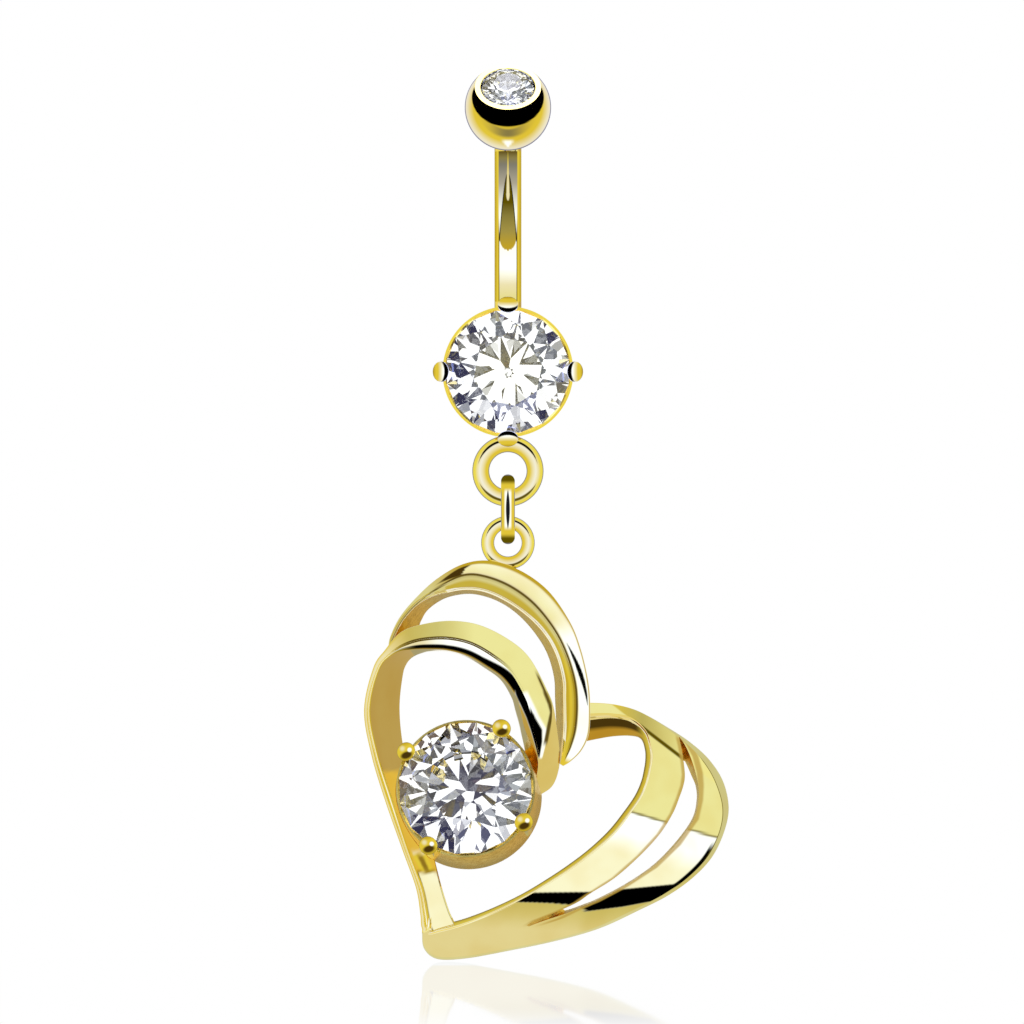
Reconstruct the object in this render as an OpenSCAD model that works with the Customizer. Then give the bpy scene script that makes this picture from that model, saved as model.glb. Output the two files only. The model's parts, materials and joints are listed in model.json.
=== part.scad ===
// Navel ring: a curved barbell with a screw-on ball, and an open heart drop on a jump ring.
// Millimetres. X to the wearer's left, Z up, the stones face -Y. The origin is the middle of the
// curved shaft, where the ring sits in the piercing.

/* [Barbell] */
// Thickness of the curved shaft, 14 gauge
bar_d = 1.6; // [1.2:0.1:2]
// Radius of the shaft's bend, at the middle of its wire
bar_bend_r = 7.7; // [6.5:0.1:10]
// How far the shaft bends forward above the origin, in degrees
bar_top_turn = 45; // [35:1:55]
// How far the shaft bends forward below the origin, in degrees
bar_low_turn = 57; // [50:1:60]
// Diameter of the threaded stub
stub_d = 1.2; // [0.9:0.1:1.2]
// Length of the threaded stub
stub_len = 2; // [1.5:0.1:2.1]

/* [Ball] */
// Diameter of the screw-on ball
ball_d = 5.1; // [4.6:0.1:6]
// Diameter of the flat that carries the ball's stone
ball_flat_d = 3.9; // [3.6:0.1:4.2]
// Diameter of the ball's stone
ball_stone_d = 3.1; // [2.6:0.1:3.2]

/* [Basket] */
// Diameter of the stone in the basket
basket_stone_d = 7.3; // [6.5:0.1:8]
// Width of the thin rim round that stone
rim_w = 0.15; // [0.1:0.01:0.3]
// How far the stone's girdle lies in front of the shaft's middle
basket_forward = 6.5; // [6.2:0.1:7]
// How far the stone's centre lies below the shaft's middle
basket_drop = 8.45; // [8:0.05:9]
// Depth of the basket behind the girdle
basket_depth = 3.5; // [3.3:0.1:4]
// Radius of the basket's back
basket_back_r = 2.4; // [2:0.1:3]
// Width of the openings in the basket's side
window_d = 2; // [1.2:0.1:2.4]
// Thickness of a prong
prong_d = 0.8; // [0.6:0.05:1]
// Diameter of the bead at a prong's end
prong_bead_d = 1.12; // [0.9:0.02:1.3]

/* [Rings] */
// Outer diameter of the hanger ring under the basket
hanger_od = 4.2; // [3.8:0.1:5]
// Wire of the hanger ring
hanger_wire = 1; // [0.7:0.05:1.1]
// How far the hanger ring and the drop hang behind the basket's girdle
hanger_back = 0.6; // [0.5:0.05:1]
// How deep the hanger ring is soldered into the basket's rim
solder_bite = 0.12; // [0.08:0.02:0.3]
// Outer diameter of the jump ring
link_od = 4.12; // [4:0.04:5]
// Wire of the jump ring
link_wire = 0.82; // [0.6:0.02:0.9]
// Outer diameter of the heart's bail ring
bail_od = 3.16; // [3:0.04:4]
// Wire of the heart's bail ring
bail_wire = 0.77; // [0.5:0.01:0.8]

/* [Heart] */
// Width of the heart
heart_w = 21.5; // [18:0.5:26]
// Height of the heart
heart_h = 23.5; // [20:0.5:28]
// Depth of the heart from its highest ridge to its back
heart_depth = 3.6; // [3.4:0.1:4.2]
// How deep the bail ring is soldered into the heart's top
bail_bite = 0.2; // [0.15:0.01:0.3]
// Slope of the ribbons' outer facets, in degrees
facet_lean = 20; // [12:1:24]
// Slope of the ribbons' inner facets, in degrees
inner_lean = 24; // [10:1:35]
// Slope of the bevel along the heart's right edge, in degrees
bevel_lean = 52; // [40:1:60]
// Diameter of the heart's stone
heart_stone_d = 7.9; // [7:0.1:8.2]
// Wall of the heart's stone cup at its front edge
cup_wall = 0.1; // [0.08:0.02:0.3]
// Depth of the cup behind the stone's girdle
cup_depth = 3.4; // [3.2:0.1:3.6]
// How much wider the cup is at its back, on each side
cup_flare = 0.2; // [0:0.05:0.3]
// Hole in the cup's back
cup_hole_d = 3; // [1:0.1:4]
// How far the stone and its cup look up, in degrees
cup_pitch = 12; // [8:1:14]
// How far the stone and its cup look to the heart's left, in degrees
cup_yaw = 4; // [0:1:6]

/* [Fits] */
// Gap all round a stone in its seat
stone_gap = 0.05; // [0.03:0.01:0.08]
// Gap between the ball and the shaft's shoulder
shoulder_gap = 0.06; // [0.04:0.01:0.1]
// Gap round the threaded stub in the ball's bore
bore_gap = 0.08; // [0.05:0.01:0.12]
// Gap between hanging rings
hang_gap = 0.08; // [0.05:0.01:0.12]

/* [Hidden] */
gold = [0.86, 0.72, 0.28];
clear = [0.86, 0.88, 0.94];
$fn = 48;

// Proportions of a round brilliant, as shares of its diameter
table_share = 0.56;
crown_share = 0.145;
girdle_share = 0.03;
pavilion_share = 0.41;
star_share = 0.78;
lower_share = 0.25;

// How far the stub reaches back into the shaft
stub_root = 0.2 * bar_d;
ball_r = ball_d / 2;
ball_flat_z = sqrt(pow(ball_r, 2) - pow(ball_flat_d / 2, 2));
ball_foot_z = sqrt(pow(ball_r, 2) - pow(bar_d / 2, 2));
ball_stone_z = ball_flat_z - 0.06 * ball_r;
bore_end_z = shoulder_gap + stub_len + bore_gap - ball_foot_z;
shoulder = [0, -bar_bend_r + bar_bend_r * cos(bar_top_turn), bar_bend_r * sin(bar_top_turn)];

rim_r = basket_stone_d / 2 + stone_gap + rim_w;
basket_at = [0, -basket_forward, -basket_drop];
waist_r = 0.8 * rim_r;
hanger_r = (hanger_od - hanger_wire) / 2;
hang_y = basket_at.y + hanger_back;
hanger_z = basket_at.z - rim_r - hanger_od / 2 + solder_bite;
link_r = (link_od - link_wire) / 2;
link_pivot_z = hanger_z - hanger_r;
link_z = link_pivot_z + hanger_wire / 2 + hang_gap - (link_r - link_wire / 2);
heart_pivot_z = link_z - link_r;
bail_r = (bail_od - bail_wire) / 2;
bail_z = heart_pivot_z + link_wire / 2 + hang_gap - (bail_r - bail_wire / 2);

// The bail's place along the heart's top, how high the outline is there, and the heart's balance
// point in its depth, as shares
bail_u = 0.393;
bail_v = 0.985;
balance_q = 0.5;
heart_z = bail_z - bail_od / 2 + bail_bite - bail_v * heart_h;
heart_at = [-bail_u * heart_w, hang_y + balance_q * heart_depth, heart_z];
cup_r = heart_stone_d / 2 + stone_gap + cup_wall;
// The stone's centre in the heart: across, up and forward, as shares
cup_u = 0.277;
cup_v = 0.430;
cup_q = 0.86;

// Each row below is a section across a ribbon, clockwise round the heart as seen from the front.
// Lengths across are shares of heart_w, up from the tip of heart_h, and in depth of heart_depth
// from its back. Across the ribbon, from its outer edge to its inner back edge:
//   outer_u, outer_v: the outer edge        inner_u, inner_v: the inner edge at the back
//   edge, ridge, lip: the bevel's edge, the highest line and the inner front edge
//   heel: where the outer side meets the back
//   top: height of the highest line         back_in, back_out: height of the back's two edges
left_ribbon = [
    [0.190, 0.030,  0.262, 0.060,  0.00, 0.10, 0.24, 0.40,  0.70, 0.40, 0.05],
    [0.159, 0.078,  0.246, 0.098,  0.00, 0.10, 0.24, 0.42,  0.97, 0.78, 0.00],
    [0.154, 0.114,  0.232, 0.126,  0.00, 0.10, 0.24, 0.45,  1.00, 0.82, 0.00],
    [0.142, 0.181,  0.210, 0.191,  0.00, 0.10, 0.24, 0.50,  1.00, 0.80, 0.00],
    [0.105, 0.276,  0.178, 0.298,  0.00, 0.08, 0.20, 0.50,  1.00, 0.00, 0.00],
    [0.057, 0.401,  0.134, 0.424,  0.00, 0.08, 0.24, 0.50,  1.00, 0.00, 0.00],
    [0.020, 0.514,  0.106, 0.531,  0.00, 0.08, 0.20, 0.55,  1.00, 0.00, 0.00],
    [0.000, 0.626,  0.096, 0.626,  0.00, 0.08, 0.17, 0.58,  1.00, 0.00, 0.00],
    [0.025, 0.731,  0.104, 0.706,  0.00, 0.12, 0.20, 0.55,  1.00, 0.00, 0.00],
    [0.057, 0.776,  0.115, 0.739,  0.00, 0.22, 0.33, 0.50,  1.00, 0.05, 0.00],
    [0.098, 0.819,  0.137, 0.759,  0.00, 0.40, 0.70, 0.40,  1.00, 0.15, 0.05],
    [0.153, 0.839,  0.175, 0.770,  0.00, 0.46, 0.88, 0.30,  1.00, 0.22, 0.10],
    [0.235, 0.849,  0.227, 0.770,  0.00, 0.50, 0.93, 0.30,  1.00, 0.25, 0.10],
    [0.317, 0.838,  0.279, 0.756,  0.00, 0.52, 0.93, 0.30,  1.00, 0.25, 0.10],
    [0.399, 0.800,  0.328, 0.729,  0.00, 0.54, 0.92, 0.30,  1.00, 0.25, 0.10],
    [0.454, 0.754,  0.372, 0.699,  0.00, 0.55, 0.90, 0.30,  0.98, 0.22, 0.10],
    [0.500, 0.676,  0.402, 0.656,  0.00, 0.55, 0.86, 0.30,  0.95, 0.15, 0.05],
    [0.518, 0.636,  0.413, 0.622,  0.04, 0.55, 0.86, 0.30,  0.92, 0.05, 0.00],
    [0.529, 0.576,  0.426, 0.576,  0.18, 0.60, 0.86, 0.35,  0.86, 0.00, 0.00],
    [0.536, 0.521,  0.437, 0.531,  0.38, 0.60, 0.72, 0.40,  0.78, 0.00, 0.00],
    [0.534, 0.474,  0.442, 0.500,  0.58, 0.60, 0.62, 0.45,  0.66, 0.00, 0.00],
    [0.514, 0.429,  0.440, 0.462,  0.58, 0.60, 0.62, 0.45,  0.50, 0.00, 0.00],
    [0.464, 0.401,  0.425, 0.430,  0.58, 0.60, 0.62, 0.45,  0.36, 0.00, 0.00],
];
top_ribbon = [
    [0.066, 0.776,  0.118, 0.770,  0.00, 0.08, 0.14, 0.55,  0.62, 0.00, 0.00],
    [0.070, 0.806,  0.144, 0.821,  0.00, 0.08, 0.15, 0.55,  0.72, 0.00, 0.00],
    [0.096, 0.856,  0.156, 0.849,  0.00, 0.12, 0.22, 0.55,  0.80, 0.00, 0.00],
    [0.139, 0.904,  0.176, 0.877,  0.00, 0.20, 0.36, 0.50,  0.86, 0.00, 0.00],
    [0.199, 0.954,  0.221, 0.904,  0.00, 0.36, 0.74, 0.40,  0.90, 0.05, 0.00],
    [0.271, 0.991,  0.279, 0.915,  0.00, 0.36, 0.86, 0.20,  0.90, 0.10, 0.05],
    [0.344, 0.999,  0.328, 0.909,  0.00, 0.45, 0.88, 0.12,  0.90, 0.10, 0.05],
    [0.426, 0.975,  0.377, 0.891,  0.00, 0.49, 0.90, 0.12,  0.90, 0.10, 0.05],
    [0.503, 0.924,  0.424, 0.860,  0.00, 0.50, 0.87, 0.24,  0.90, 0.10, 0.05],
    [0.563, 0.846,  0.467, 0.816,  0.00, 0.48, 0.79, 0.30,  0.90, 0.10, 0.05],
    [0.593, 0.776,  0.500, 0.766,  0.00, 0.45, 0.76, 0.30,  0.90, 0.05, 0.00],
    [0.612, 0.701,  0.519, 0.706,  0.00, 0.40, 0.76, 0.30,  0.90, 0.00, 0.00],
    [0.618, 0.639,  0.522, 0.651,  0.00, 0.38, 0.77, 0.30,  0.88, 0.00, 0.00],
    [0.615, 0.569,  0.525, 0.596,  0.00, 0.42, 0.78, 0.30,  0.82, 0.00, 0.00],
    [0.596, 0.526,  0.528, 0.550,  0.00, 0.46, 0.78, 0.30,  0.72, 0.00, 0.00],
    [0.566, 0.497,  0.532, 0.512,  0.00, 0.48, 0.78, 0.30,  0.58, 0.05, 0.05],
    [0.545, 0.484,  0.534, 0.490,  0.00, 0.48, 0.78, 0.30,  0.42, 0.15, 0.15],
];
right_ribbon = [
    [0.568, 0.641,  0.568, 0.536,  0.00, 0.10, 0.20, 0.55,  0.56, 0.00, 0.00],
    [0.618, 0.643,  0.618, 0.546,  0.00, 0.10, 0.20, 0.55,  0.62, 0.00, 0.00],
    [0.678, 0.640,  0.678, 0.556,  0.00, 0.10, 0.20, 0.55,  0.70, 0.00, 0.00],
    [0.732, 0.629,  0.727, 0.558,  0.00, 0.14, 0.28, 0.55,  0.80, 0.00, 0.00],
    [0.776, 0.611,  0.757, 0.551,  0.00, 0.40, 0.52, 0.50,  0.88, 0.05, 0.00],
    [0.828, 0.584,  0.768, 0.526,  0.04, 0.68, 0.75, 0.35,  0.94, 0.30, 0.04],
    [0.891, 0.546,  0.769, 0.501,  0.08, 0.80, 0.85, 0.20,  0.98, 0.45, 0.08],
    [0.945, 0.501,  0.765, 0.476,  0.10, 0.87, 0.90, 0.12,  1.00, 0.55, 0.10],
    [0.984, 0.446,  0.757, 0.446,  0.10, 0.90, 0.92, 0.10,  1.00, 0.60, 0.12],
    [1.000, 0.381,  0.740, 0.411,  0.07, 0.91, 0.93, 0.08,  1.00, 0.60, 0.12],
    [0.989, 0.321,  0.710, 0.371,  0.05, 0.92, 0.94, 0.08,  1.00, 0.60, 0.12],
    [0.956, 0.256,  0.669, 0.324,  0.05, 0.92, 0.94, 0.08,  1.00, 0.60, 0.12],
    [0.904, 0.204,  0.617, 0.279,  0.05, 0.93, 0.95, 0.08,  1.00, 0.60, 0.14],
    [0.836, 0.159,  0.563, 0.241,  0.05, 0.93, 0.95, 0.08,  1.00, 0.60, 0.16],
    [0.754, 0.121,  0.503, 0.204,  0.05, 0.93, 0.95, 0.08,  1.00, 0.58, 0.18],
    [0.645, 0.076,  0.432, 0.165,  0.05, 0.93, 0.95, 0.08,  1.00, 0.52, 0.18],
    [0.522, 0.045,  0.361, 0.133,  0.05, 0.91, 0.94, 0.08,  1.00, 0.42, 0.14],
    [0.385, 0.020,  0.295, 0.108,  0.06, 0.88, 0.92, 0.08,  1.00, 0.25, 0.08],
    [0.276, 0.003,  0.249, 0.094,  0.07, 0.84, 0.90, 0.08,  1.00, 0.05, 0.00],
    [0.200, 0.002,  0.205, 0.084,  0.08, 0.80, 0.88, 0.10,  1.00, 0.00, 0.00],
    [0.164, 0.028,  0.182, 0.074,  0.08, 0.75, 0.86, 0.20,  1.00, 0.00, 0.00],
    [0.158, 0.068,  0.196, 0.086,  0.05, 0.45, 0.60, 0.35,  1.00, 0.00, 0.00],
    [0.162, 0.110,  0.200, 0.118,  0.05, 0.30, 0.50, 0.40,  0.93, 0.02, 0.02],
    [0.162, 0.142,  0.196, 0.148,  0.05, 0.20, 0.40, 0.45,  0.70, 0.10, 0.10],
];
// The slot that splits the right ribbon, and fades to a groove at both ends. Its columns are
//   near_u, near_v: its edge toward the opening
//   far_u, far_v: its other edge at the floor    rim_u, rim_v: the same edge at the front
//   floor: height of its floor
slot_cut = [
    [0.860, 0.561,  0.862, 0.560,  0.866, 0.562,  0.80],
    [0.866, 0.536,  0.869, 0.536,  0.888, 0.540,  0.50],
    [0.872, 0.506,  0.877, 0.504,  0.906, 0.509,  0.30],
    [0.877, 0.464,  0.885, 0.461,  0.918, 0.469, -0.10],
    [0.873, 0.437,  0.902, 0.434,  0.921, 0.436, -0.10],
    [0.861, 0.405,  0.907, 0.399,  0.919, 0.399, -0.10],
    [0.844, 0.367,  0.894, 0.351,  0.907, 0.351, -0.10],
    [0.809, 0.316,  0.849, 0.294,  0.858, 0.287, -0.10],
    [0.754, 0.261,  0.787, 0.236,  0.793, 0.230, -0.10],
    [0.686, 0.206,  0.710, 0.188,  0.714, 0.183, -0.10],
    [0.617, 0.166,  0.631, 0.151,  0.637, 0.146, -0.10],
    [0.582, 0.144,  0.590, 0.137,  0.598, 0.131, -0.10],
    [0.522, 0.119,  0.527, 0.113,  0.536, 0.104,  0.55],
    [0.467, 0.099,  0.470, 0.093,  0.475, 0.085,  0.72],
    [0.426, 0.077,  0.428, 0.073,  0.431, 0.069,  0.88],
];
ribbon_steps = 3;

// A smooth curve through the rows of a table: row i, and t from 0 to 1 toward the next one.
function between(rows, i, t) =
    let (a = rows[max(i - 1, 0)], b = rows[i], c = rows[i + 1], d = rows[min(i + 2, len(rows) - 1)])
    b + 0.5 * t * ((c - a) + t * ((2 * a - 5 * b + 4 * c - d) + t * (3 * b - a - 3 * c + d)));

function smooth_rows(rows, steps) = [
    for (i = [0 : len(rows) - 2]) for (s = [0 : steps - 1]) between(rows, i, s / steps),
    rows[len(rows) - 1]
];

// The six corners of a ribbon's section, from one row.
function ribbon_section(row) =
    let (
        outer = [row[0] * heart_w, row[1] * heart_h],
        inner = [row[2] * heart_w, row[3] * heart_h],
        across = inner - outer,
        width = norm(across),
        top = row[8] * heart_depth,
        edge_y = top - (row[5] - row[4]) * width * tan(facet_lean),
        side_y = edge_y - (row[4] * width + 0.04 * heart_depth) * tan(bevel_lean),
        lip_y = top - (row[6] - row[5]) * width * tan(inner_lean),
        shares = [row[7], 0, row[4], row[5], row[6], 1],
        heights = [row[10] * heart_depth, side_y, edge_y, top, lip_y, row[9] * heart_depth]
    )
    [for (k = [0 : 5]) let (p = outer + across * shares[k]) [p.x, -heights[k], p.y]];

function slot_section(row) =
    let (near = [row[0] * heart_w, row[1] * heart_h], far = [row[2] * heart_w, row[3] * heart_h],
         rim = [row[4] * heart_w, row[5] * heart_h], above = 1.1 * heart_depth,
         base = row[6] * heart_depth)
    [[far.x, -base, far.y], [rim.x, -above, rim.y], [near.x, -above, near.y], [near.x, -base, near.y]];

// A closed solid through sections that all have the same number of corners.
module loft(sections) {
    n = len(sections[0]);
    last = (len(sections) - 1) * n;
    polyhedron(
        points = [for (section = sections) for (p = section) p],
        faces = concat(
            [[for (k = [0 : n - 1]) k]],
            [[for (k = [n - 1 : -1 : 0]) last + k]],
            [for (s = [0 : len(sections) - 2]) for (k = [0 : n - 1])
                [s * n + (k + 1) % n, s * n + k, (s + 1) * n + k]],
            [for (s = [0 : len(sections) - 2]) for (k = [0 : n - 1])
                [(s + 1) * n + (k + 1) % n, s * n + (k + 1) % n, (s + 1) * n + k]]
        )
    );
}

// A round brilliant with its girdle's middle at the origin and its table toward +Z.
module brilliant(d) {
    r = d / 2;
    half = girdle_share * d / 2;
    table_r = table_share * r;
    star_r = star_share * r;
    low_r = lower_share * r;
    crown = crown_share * d;
    depth = pavilion_share * d;
    star_z = half + crown * (r - star_r * cos(22.5)) / (r - table_r);
    low_z = -half - depth * (r - low_r * cos(22.5)) / r;
    points = concat(
        [for (k = [0 : 7]) [table_r * cos(45 * k), table_r * sin(45 * k), half + crown]],
        [for (k = [0 : 7]) [star_r * cos(45 * k + 22.5), star_r * sin(45 * k + 22.5), star_z]],
        [for (k = [0 : 15]) [r * cos(22.5 * k), r * sin(22.5 * k), half]],
        [for (k = [0 : 15]) [r * cos(22.5 * k), r * sin(22.5 * k), -half]],
        [for (k = [0 : 7]) [low_r * cos(45 * k + 22.5), low_r * sin(45 * k + 22.5), low_z]],
        [[0, 0, -half - depth]]
    );
    faces = concat(
        [[for (k = [7 : -1 : 0]) k]],
        [for (k = [0 : 7]) [k, (k + 1) % 8, 8 + k]],
        [for (k = [0 : 7]) [k, 8 + k, 16 + 2 * k]],
        [for (k = [0 : 7]) [k, 16 + 2 * k, 8 + (k + 7) % 8]],
        [for (k = [0 : 7]) [8 + k, 16 + 2 * k + 1, 16 + 2 * k]],
        [for (k = [0 : 7]) [8 + k, 16 + (2 * k + 2) % 16, 16 + 2 * k + 1]],
        [for (k = [0 : 15]) [16 + k, 16 + (k + 1) % 16, 32 + (k + 1) % 16, 32 + k]],
        [for (k = [0 : 7]) [48 + k, 32 + 2 * k, 32 + 2 * k + 1]],
        [for (k = [0 : 7]) [48 + k, 32 + 2 * k + 1, 32 + (2 * k + 2) % 16]],
        [for (k = [0 : 7]) [48 + k, 56, 32 + 2 * k]],
        [for (k = [0 : 7]) [48 + (k + 7) % 8, 32 + 2 * k, 56]]
    );
    polyhedron(points, faces);
}

// The round room that a stone fills, with the gap round it. It is open toward +Z, or follows the
// stone's crown.
module stone_room(d, open) {
    r = d / 2 + stone_gap;
    half = girdle_share * d / 2 + stone_gap;
    depth = pavilion_share * d + stone_gap;
    crown = crown_share * d + stone_gap;
    top = open
        ? [[r, d], [0, d]]
        : [[r, half], [table_share * d / 2 + stone_gap, half + crown], [0, half + crown]];
    rotate_extrude() polygon(concat([[0, -half - depth], [r, -half]], top));
}

// A straight round rod between two points of the plane X-Z, seen from its side.
module rod(from, to, d) {
    run = to - from;
    translate([from.x, 0, from.y]) rotate([0, atan2(run.x, run.y), 0]) cylinder(d = d, h = norm(run));
}

module torus(r, wire, sides = 24) {
    rotate_extrude() translate([r, 0]) circle(d = wire, $fn = sides);
}

module at_ball() {
    translate(shoulder) rotate([bar_top_turn, 0, 0])
        translate([0, 0, ball_foot_z + shoulder_gap]) children();
}

// The basket's own frame: its stone's girdle at the origin, +Z toward the viewer.
module at_basket() {
    translate(basket_at) rotate([90, 0, 0]) children();
}

module at_cup() {
    translate(heart_at + [cup_u * heart_w, -cup_q * heart_depth, cup_v * heart_h])
        rotate([90 - cup_pitch, 0, -cup_yaw]) children();
}

module curved_bar() {
    translate([0, -bar_bend_r, 0]) rotate([90, 0, 90]) rotate([0, 0, -bar_low_turn])
        rotate_extrude(angle = bar_low_turn + bar_top_turn) translate([bar_bend_r, 0]) circle(d = bar_d);
    translate(shoulder) rotate([bar_top_turn, 0, 0]) translate([0, 0, -stub_root])
        cylinder(d = stub_d, h = stub_root + stub_len);
}

module basket() {
    rim_front = girdle_share * basket_stone_d / 2;
    bead_at = [rim_r + 0.1 * prong_bead_d, 0.42 * prong_bead_d];
    foot_at = [basket_back_r, -basket_depth + prong_d / 2];
    difference() {
        union() {
            rotate_extrude() polygon([[0, -basket_depth], [basket_back_r, -basket_depth],
                [waist_r, -0.36 * basket_depth], [rim_r, -0.2 * basket_depth],
                [rim_r, rim_front], [0, rim_front]]);
            for (turn = [0 : 90 : 270]) rotate([0, 0, turn]) {
                rod(foot_at, bead_at, prong_d);
                translate([bead_at.x, 0, bead_at.y]) sphere(d = prong_bead_d);
            }
        }
        stone_room(basket_stone_d, false);
        for (turn = [45, 135]) rotate([0, 0, turn]) rotate([90, 0, 0])
            translate([0, -0.5 * basket_depth, 0])
                cylinder(d = window_d, h = 3 * rim_r, center = true);
    }
}

module barbell() {
    color(gold) {
        curved_bar();
        at_basket() basket();
        translate([0, hang_y, hanger_z]) rotate([90, 0, 0]) torus(hanger_r, hanger_wire);
    }
}

module barbell_stone() {
    color(clear) at_basket() rotate([0, 0, 11.25]) brilliant(basket_stone_d);
}

module top_ball() {
    color(gold) at_ball() difference() {
        sphere(d = ball_d);
        translate([0, 0, ball_flat_z]) cylinder(d = ball_d, h = ball_d);
        translate([0, 0, -ball_foot_z - ball_d]) cylinder(d = ball_d, h = ball_d);
        translate([0, 0, ball_stone_z]) stone_room(ball_stone_d, true);
        translate([0, 0, -ball_d]) cylinder(d = stub_d + 2 * bore_gap, h = ball_d + bore_end_z);
    }
}

module ball_stone() {
    color(clear) at_ball() translate([0, 0, ball_stone_z]) brilliant(ball_stone_d);
}

module jump_ring() {
    color(gold) translate([0, hang_y, link_z]) rotate([0, 90, 0]) torus(link_r, link_wire);
}

// The cup that holds the heart's stone, with four prongs whose beads lie over its girdle.
module stone_cup() {
    bead_z = 0.42 * prong_bead_d;
    difference() {
        union() {
            rotate_extrude($fn = 56) polygon([[0, -cup_depth], [cup_r, -cup_depth],
                [cup_r + cup_flare, -0.9 * cup_depth], [cup_r, -stone_gap], [0, -stone_gap]]);
            for (turn = [59 : 90 : 329]) rotate([0, 0, turn]) {
                hull() {
                    translate([cup_r, 0, -0.75 * cup_depth]) sphere(d = prong_d, $fn = 12);
                    translate([cup_r, 0, 0]) sphere(d = prong_d, $fn = 12);
                }
                hull() {
                    translate([cup_r, 0, 0]) sphere(d = prong_d, $fn = 12);
                    translate([cup_r, 0, bead_z]) sphere(d = prong_bead_d, $fn = 16);
                }
            }
        }
        stone_room(heart_stone_d, false, $fn = 56);
        translate([0, 0, -2 * cup_depth]) cylinder(d = cup_hole_d, h = 2 * cup_depth, $fn = 28);
    }
}

module heart_frame() {
    color(gold) {
        translate(heart_at) {
            loft([for (row = smooth_rows(left_ribbon, ribbon_steps)) ribbon_section(row)]);
            loft([for (row = smooth_rows(top_ribbon, ribbon_steps)) ribbon_section(row)]);
            difference() {
                loft([for (row = smooth_rows(right_ribbon, ribbon_steps)) ribbon_section(row)]);
                loft([for (row = smooth_rows(slot_cut, ribbon_steps)) slot_section(row)]);
            }
        }
        at_cup() stone_cup();
        translate([0, hang_y, bail_z]) rotate([90, 0, 0]) torus(bail_r, bail_wire, 14, $fn = 30);
    }
}

module heart_stone() {
    color(clear) at_cup() rotate([0, 0, 14]) brilliant(heart_stone_d);
}

barbell();
barbell_stone();
top_ball();
ball_stone();
jump_ring();
heart_frame();
heart_stone();
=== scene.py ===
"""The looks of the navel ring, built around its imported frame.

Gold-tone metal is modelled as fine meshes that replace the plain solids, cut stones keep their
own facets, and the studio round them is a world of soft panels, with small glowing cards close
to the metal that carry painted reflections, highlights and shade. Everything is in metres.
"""

import json
import math

import bmesh
import bpy
import numpy as np
from mathutils import Matrix, Vector


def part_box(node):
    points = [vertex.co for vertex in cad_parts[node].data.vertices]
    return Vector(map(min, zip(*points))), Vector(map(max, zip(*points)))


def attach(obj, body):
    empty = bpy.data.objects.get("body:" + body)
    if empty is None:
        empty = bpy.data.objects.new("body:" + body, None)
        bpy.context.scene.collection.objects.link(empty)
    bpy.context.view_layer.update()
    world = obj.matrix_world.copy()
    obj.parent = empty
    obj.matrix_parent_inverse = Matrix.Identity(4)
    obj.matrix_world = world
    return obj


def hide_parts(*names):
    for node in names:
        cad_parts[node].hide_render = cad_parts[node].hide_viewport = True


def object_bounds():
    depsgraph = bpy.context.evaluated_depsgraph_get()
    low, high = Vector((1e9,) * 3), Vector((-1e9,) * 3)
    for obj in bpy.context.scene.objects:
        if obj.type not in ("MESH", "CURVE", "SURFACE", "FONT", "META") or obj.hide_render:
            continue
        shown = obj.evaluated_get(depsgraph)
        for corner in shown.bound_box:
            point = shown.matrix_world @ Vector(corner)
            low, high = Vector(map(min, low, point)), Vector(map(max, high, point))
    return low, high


MM = 0.001

# Barbell
BAR_D = 1.6 * MM
BAR_BEND_R = 7.7 * MM
BAR_TOP_TURN = math.radians(45)
BAR_LOW_TURN = math.radians(57)
STUB_D = 1.2 * MM
STUB_LEN = 2.0 * MM
THREAD_PITCH = 0.3 * MM
THREAD_DEPTH = 0.07 * MM

# Ball
BALL_D = 5.1 * MM
BALL_FLAT_D = 3.9 * MM
BALL_STONE_D = 3.1 * MM
SHOULDER_GAP = 0.06 * MM
BORE_GAP = 0.08 * MM
SEAT_SINK = 0.06
SEAT_CHAMFER = 0.04 * MM

# Basket
BASKET_STONE_D = 7.3 * MM
RIM_W = 0.15 * MM
BASKET_DEPTH = 3.5 * MM
BASKET_BACK_R = 2.4 * MM
WINDOW_D = 2.0 * MM
PRONG_D = 0.8 * MM
PRONG_BEAD_D = 1.12 * MM
CLAW_BEAD = (0.48 * MM, 0.60 * MM, 0.50 * MM)
BEAD_RISE = 0.42 * PRONG_BEAD_D
BEAD_LEAN = 0.02 * MM
POST_STEPS = 6
POST_WAIST = 0.12

# Rings
HANGER_OD = 4.2 * MM
HANGER_WIRE = 1.0 * MM
SOLDER_BITE = 0.12 * MM
LINK_OD = 4.12 * MM
LINK_WIRE = 0.82 * MM
BAIL_OD = 3.16 * MM
BAIL_WIRE = 0.77 * MM
HANG_GAP = 0.08 * MM

# Heart
HEART_W = 21.5 * MM
HEART_H = 23.5 * MM
HEART_DEPTH = 3.6 * MM
TOP_LEAN = math.radians(17)
LEFT_LEAN = math.radians(27)
RIGHT_LEAN = math.radians(22.5)
INNER_LEAN = math.radians(24)
ROLL_LEAN = math.radians(34)
BEVEL_LEAN = math.radians(48)
HEART_STONE_D = 7.9 * MM
HEART_BEAD = (0.54 * MM, 0.56 * MM, 0.56 * MM)
CUP_WALL = 0.1 * MM
CUP_DEPTH = 3.4 * MM
CUP_FLARE = 0.2 * MM
CUP_HOLE_D = 3.0 * MM
CUP_PITCH = math.radians(12)
CUP_YAW = math.radians(4)
CUP_AT = (0.277, 0.430, 0.86)
CUP_PRONG_TURN = math.radians(59)

# Stones: shares of the diameter
GIRDLE_SHARE = 0.03
CROWN_SHARE = 0.145
PAVILION_SHARE = 0.41
TABLE_SHARE = 0.56

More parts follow.
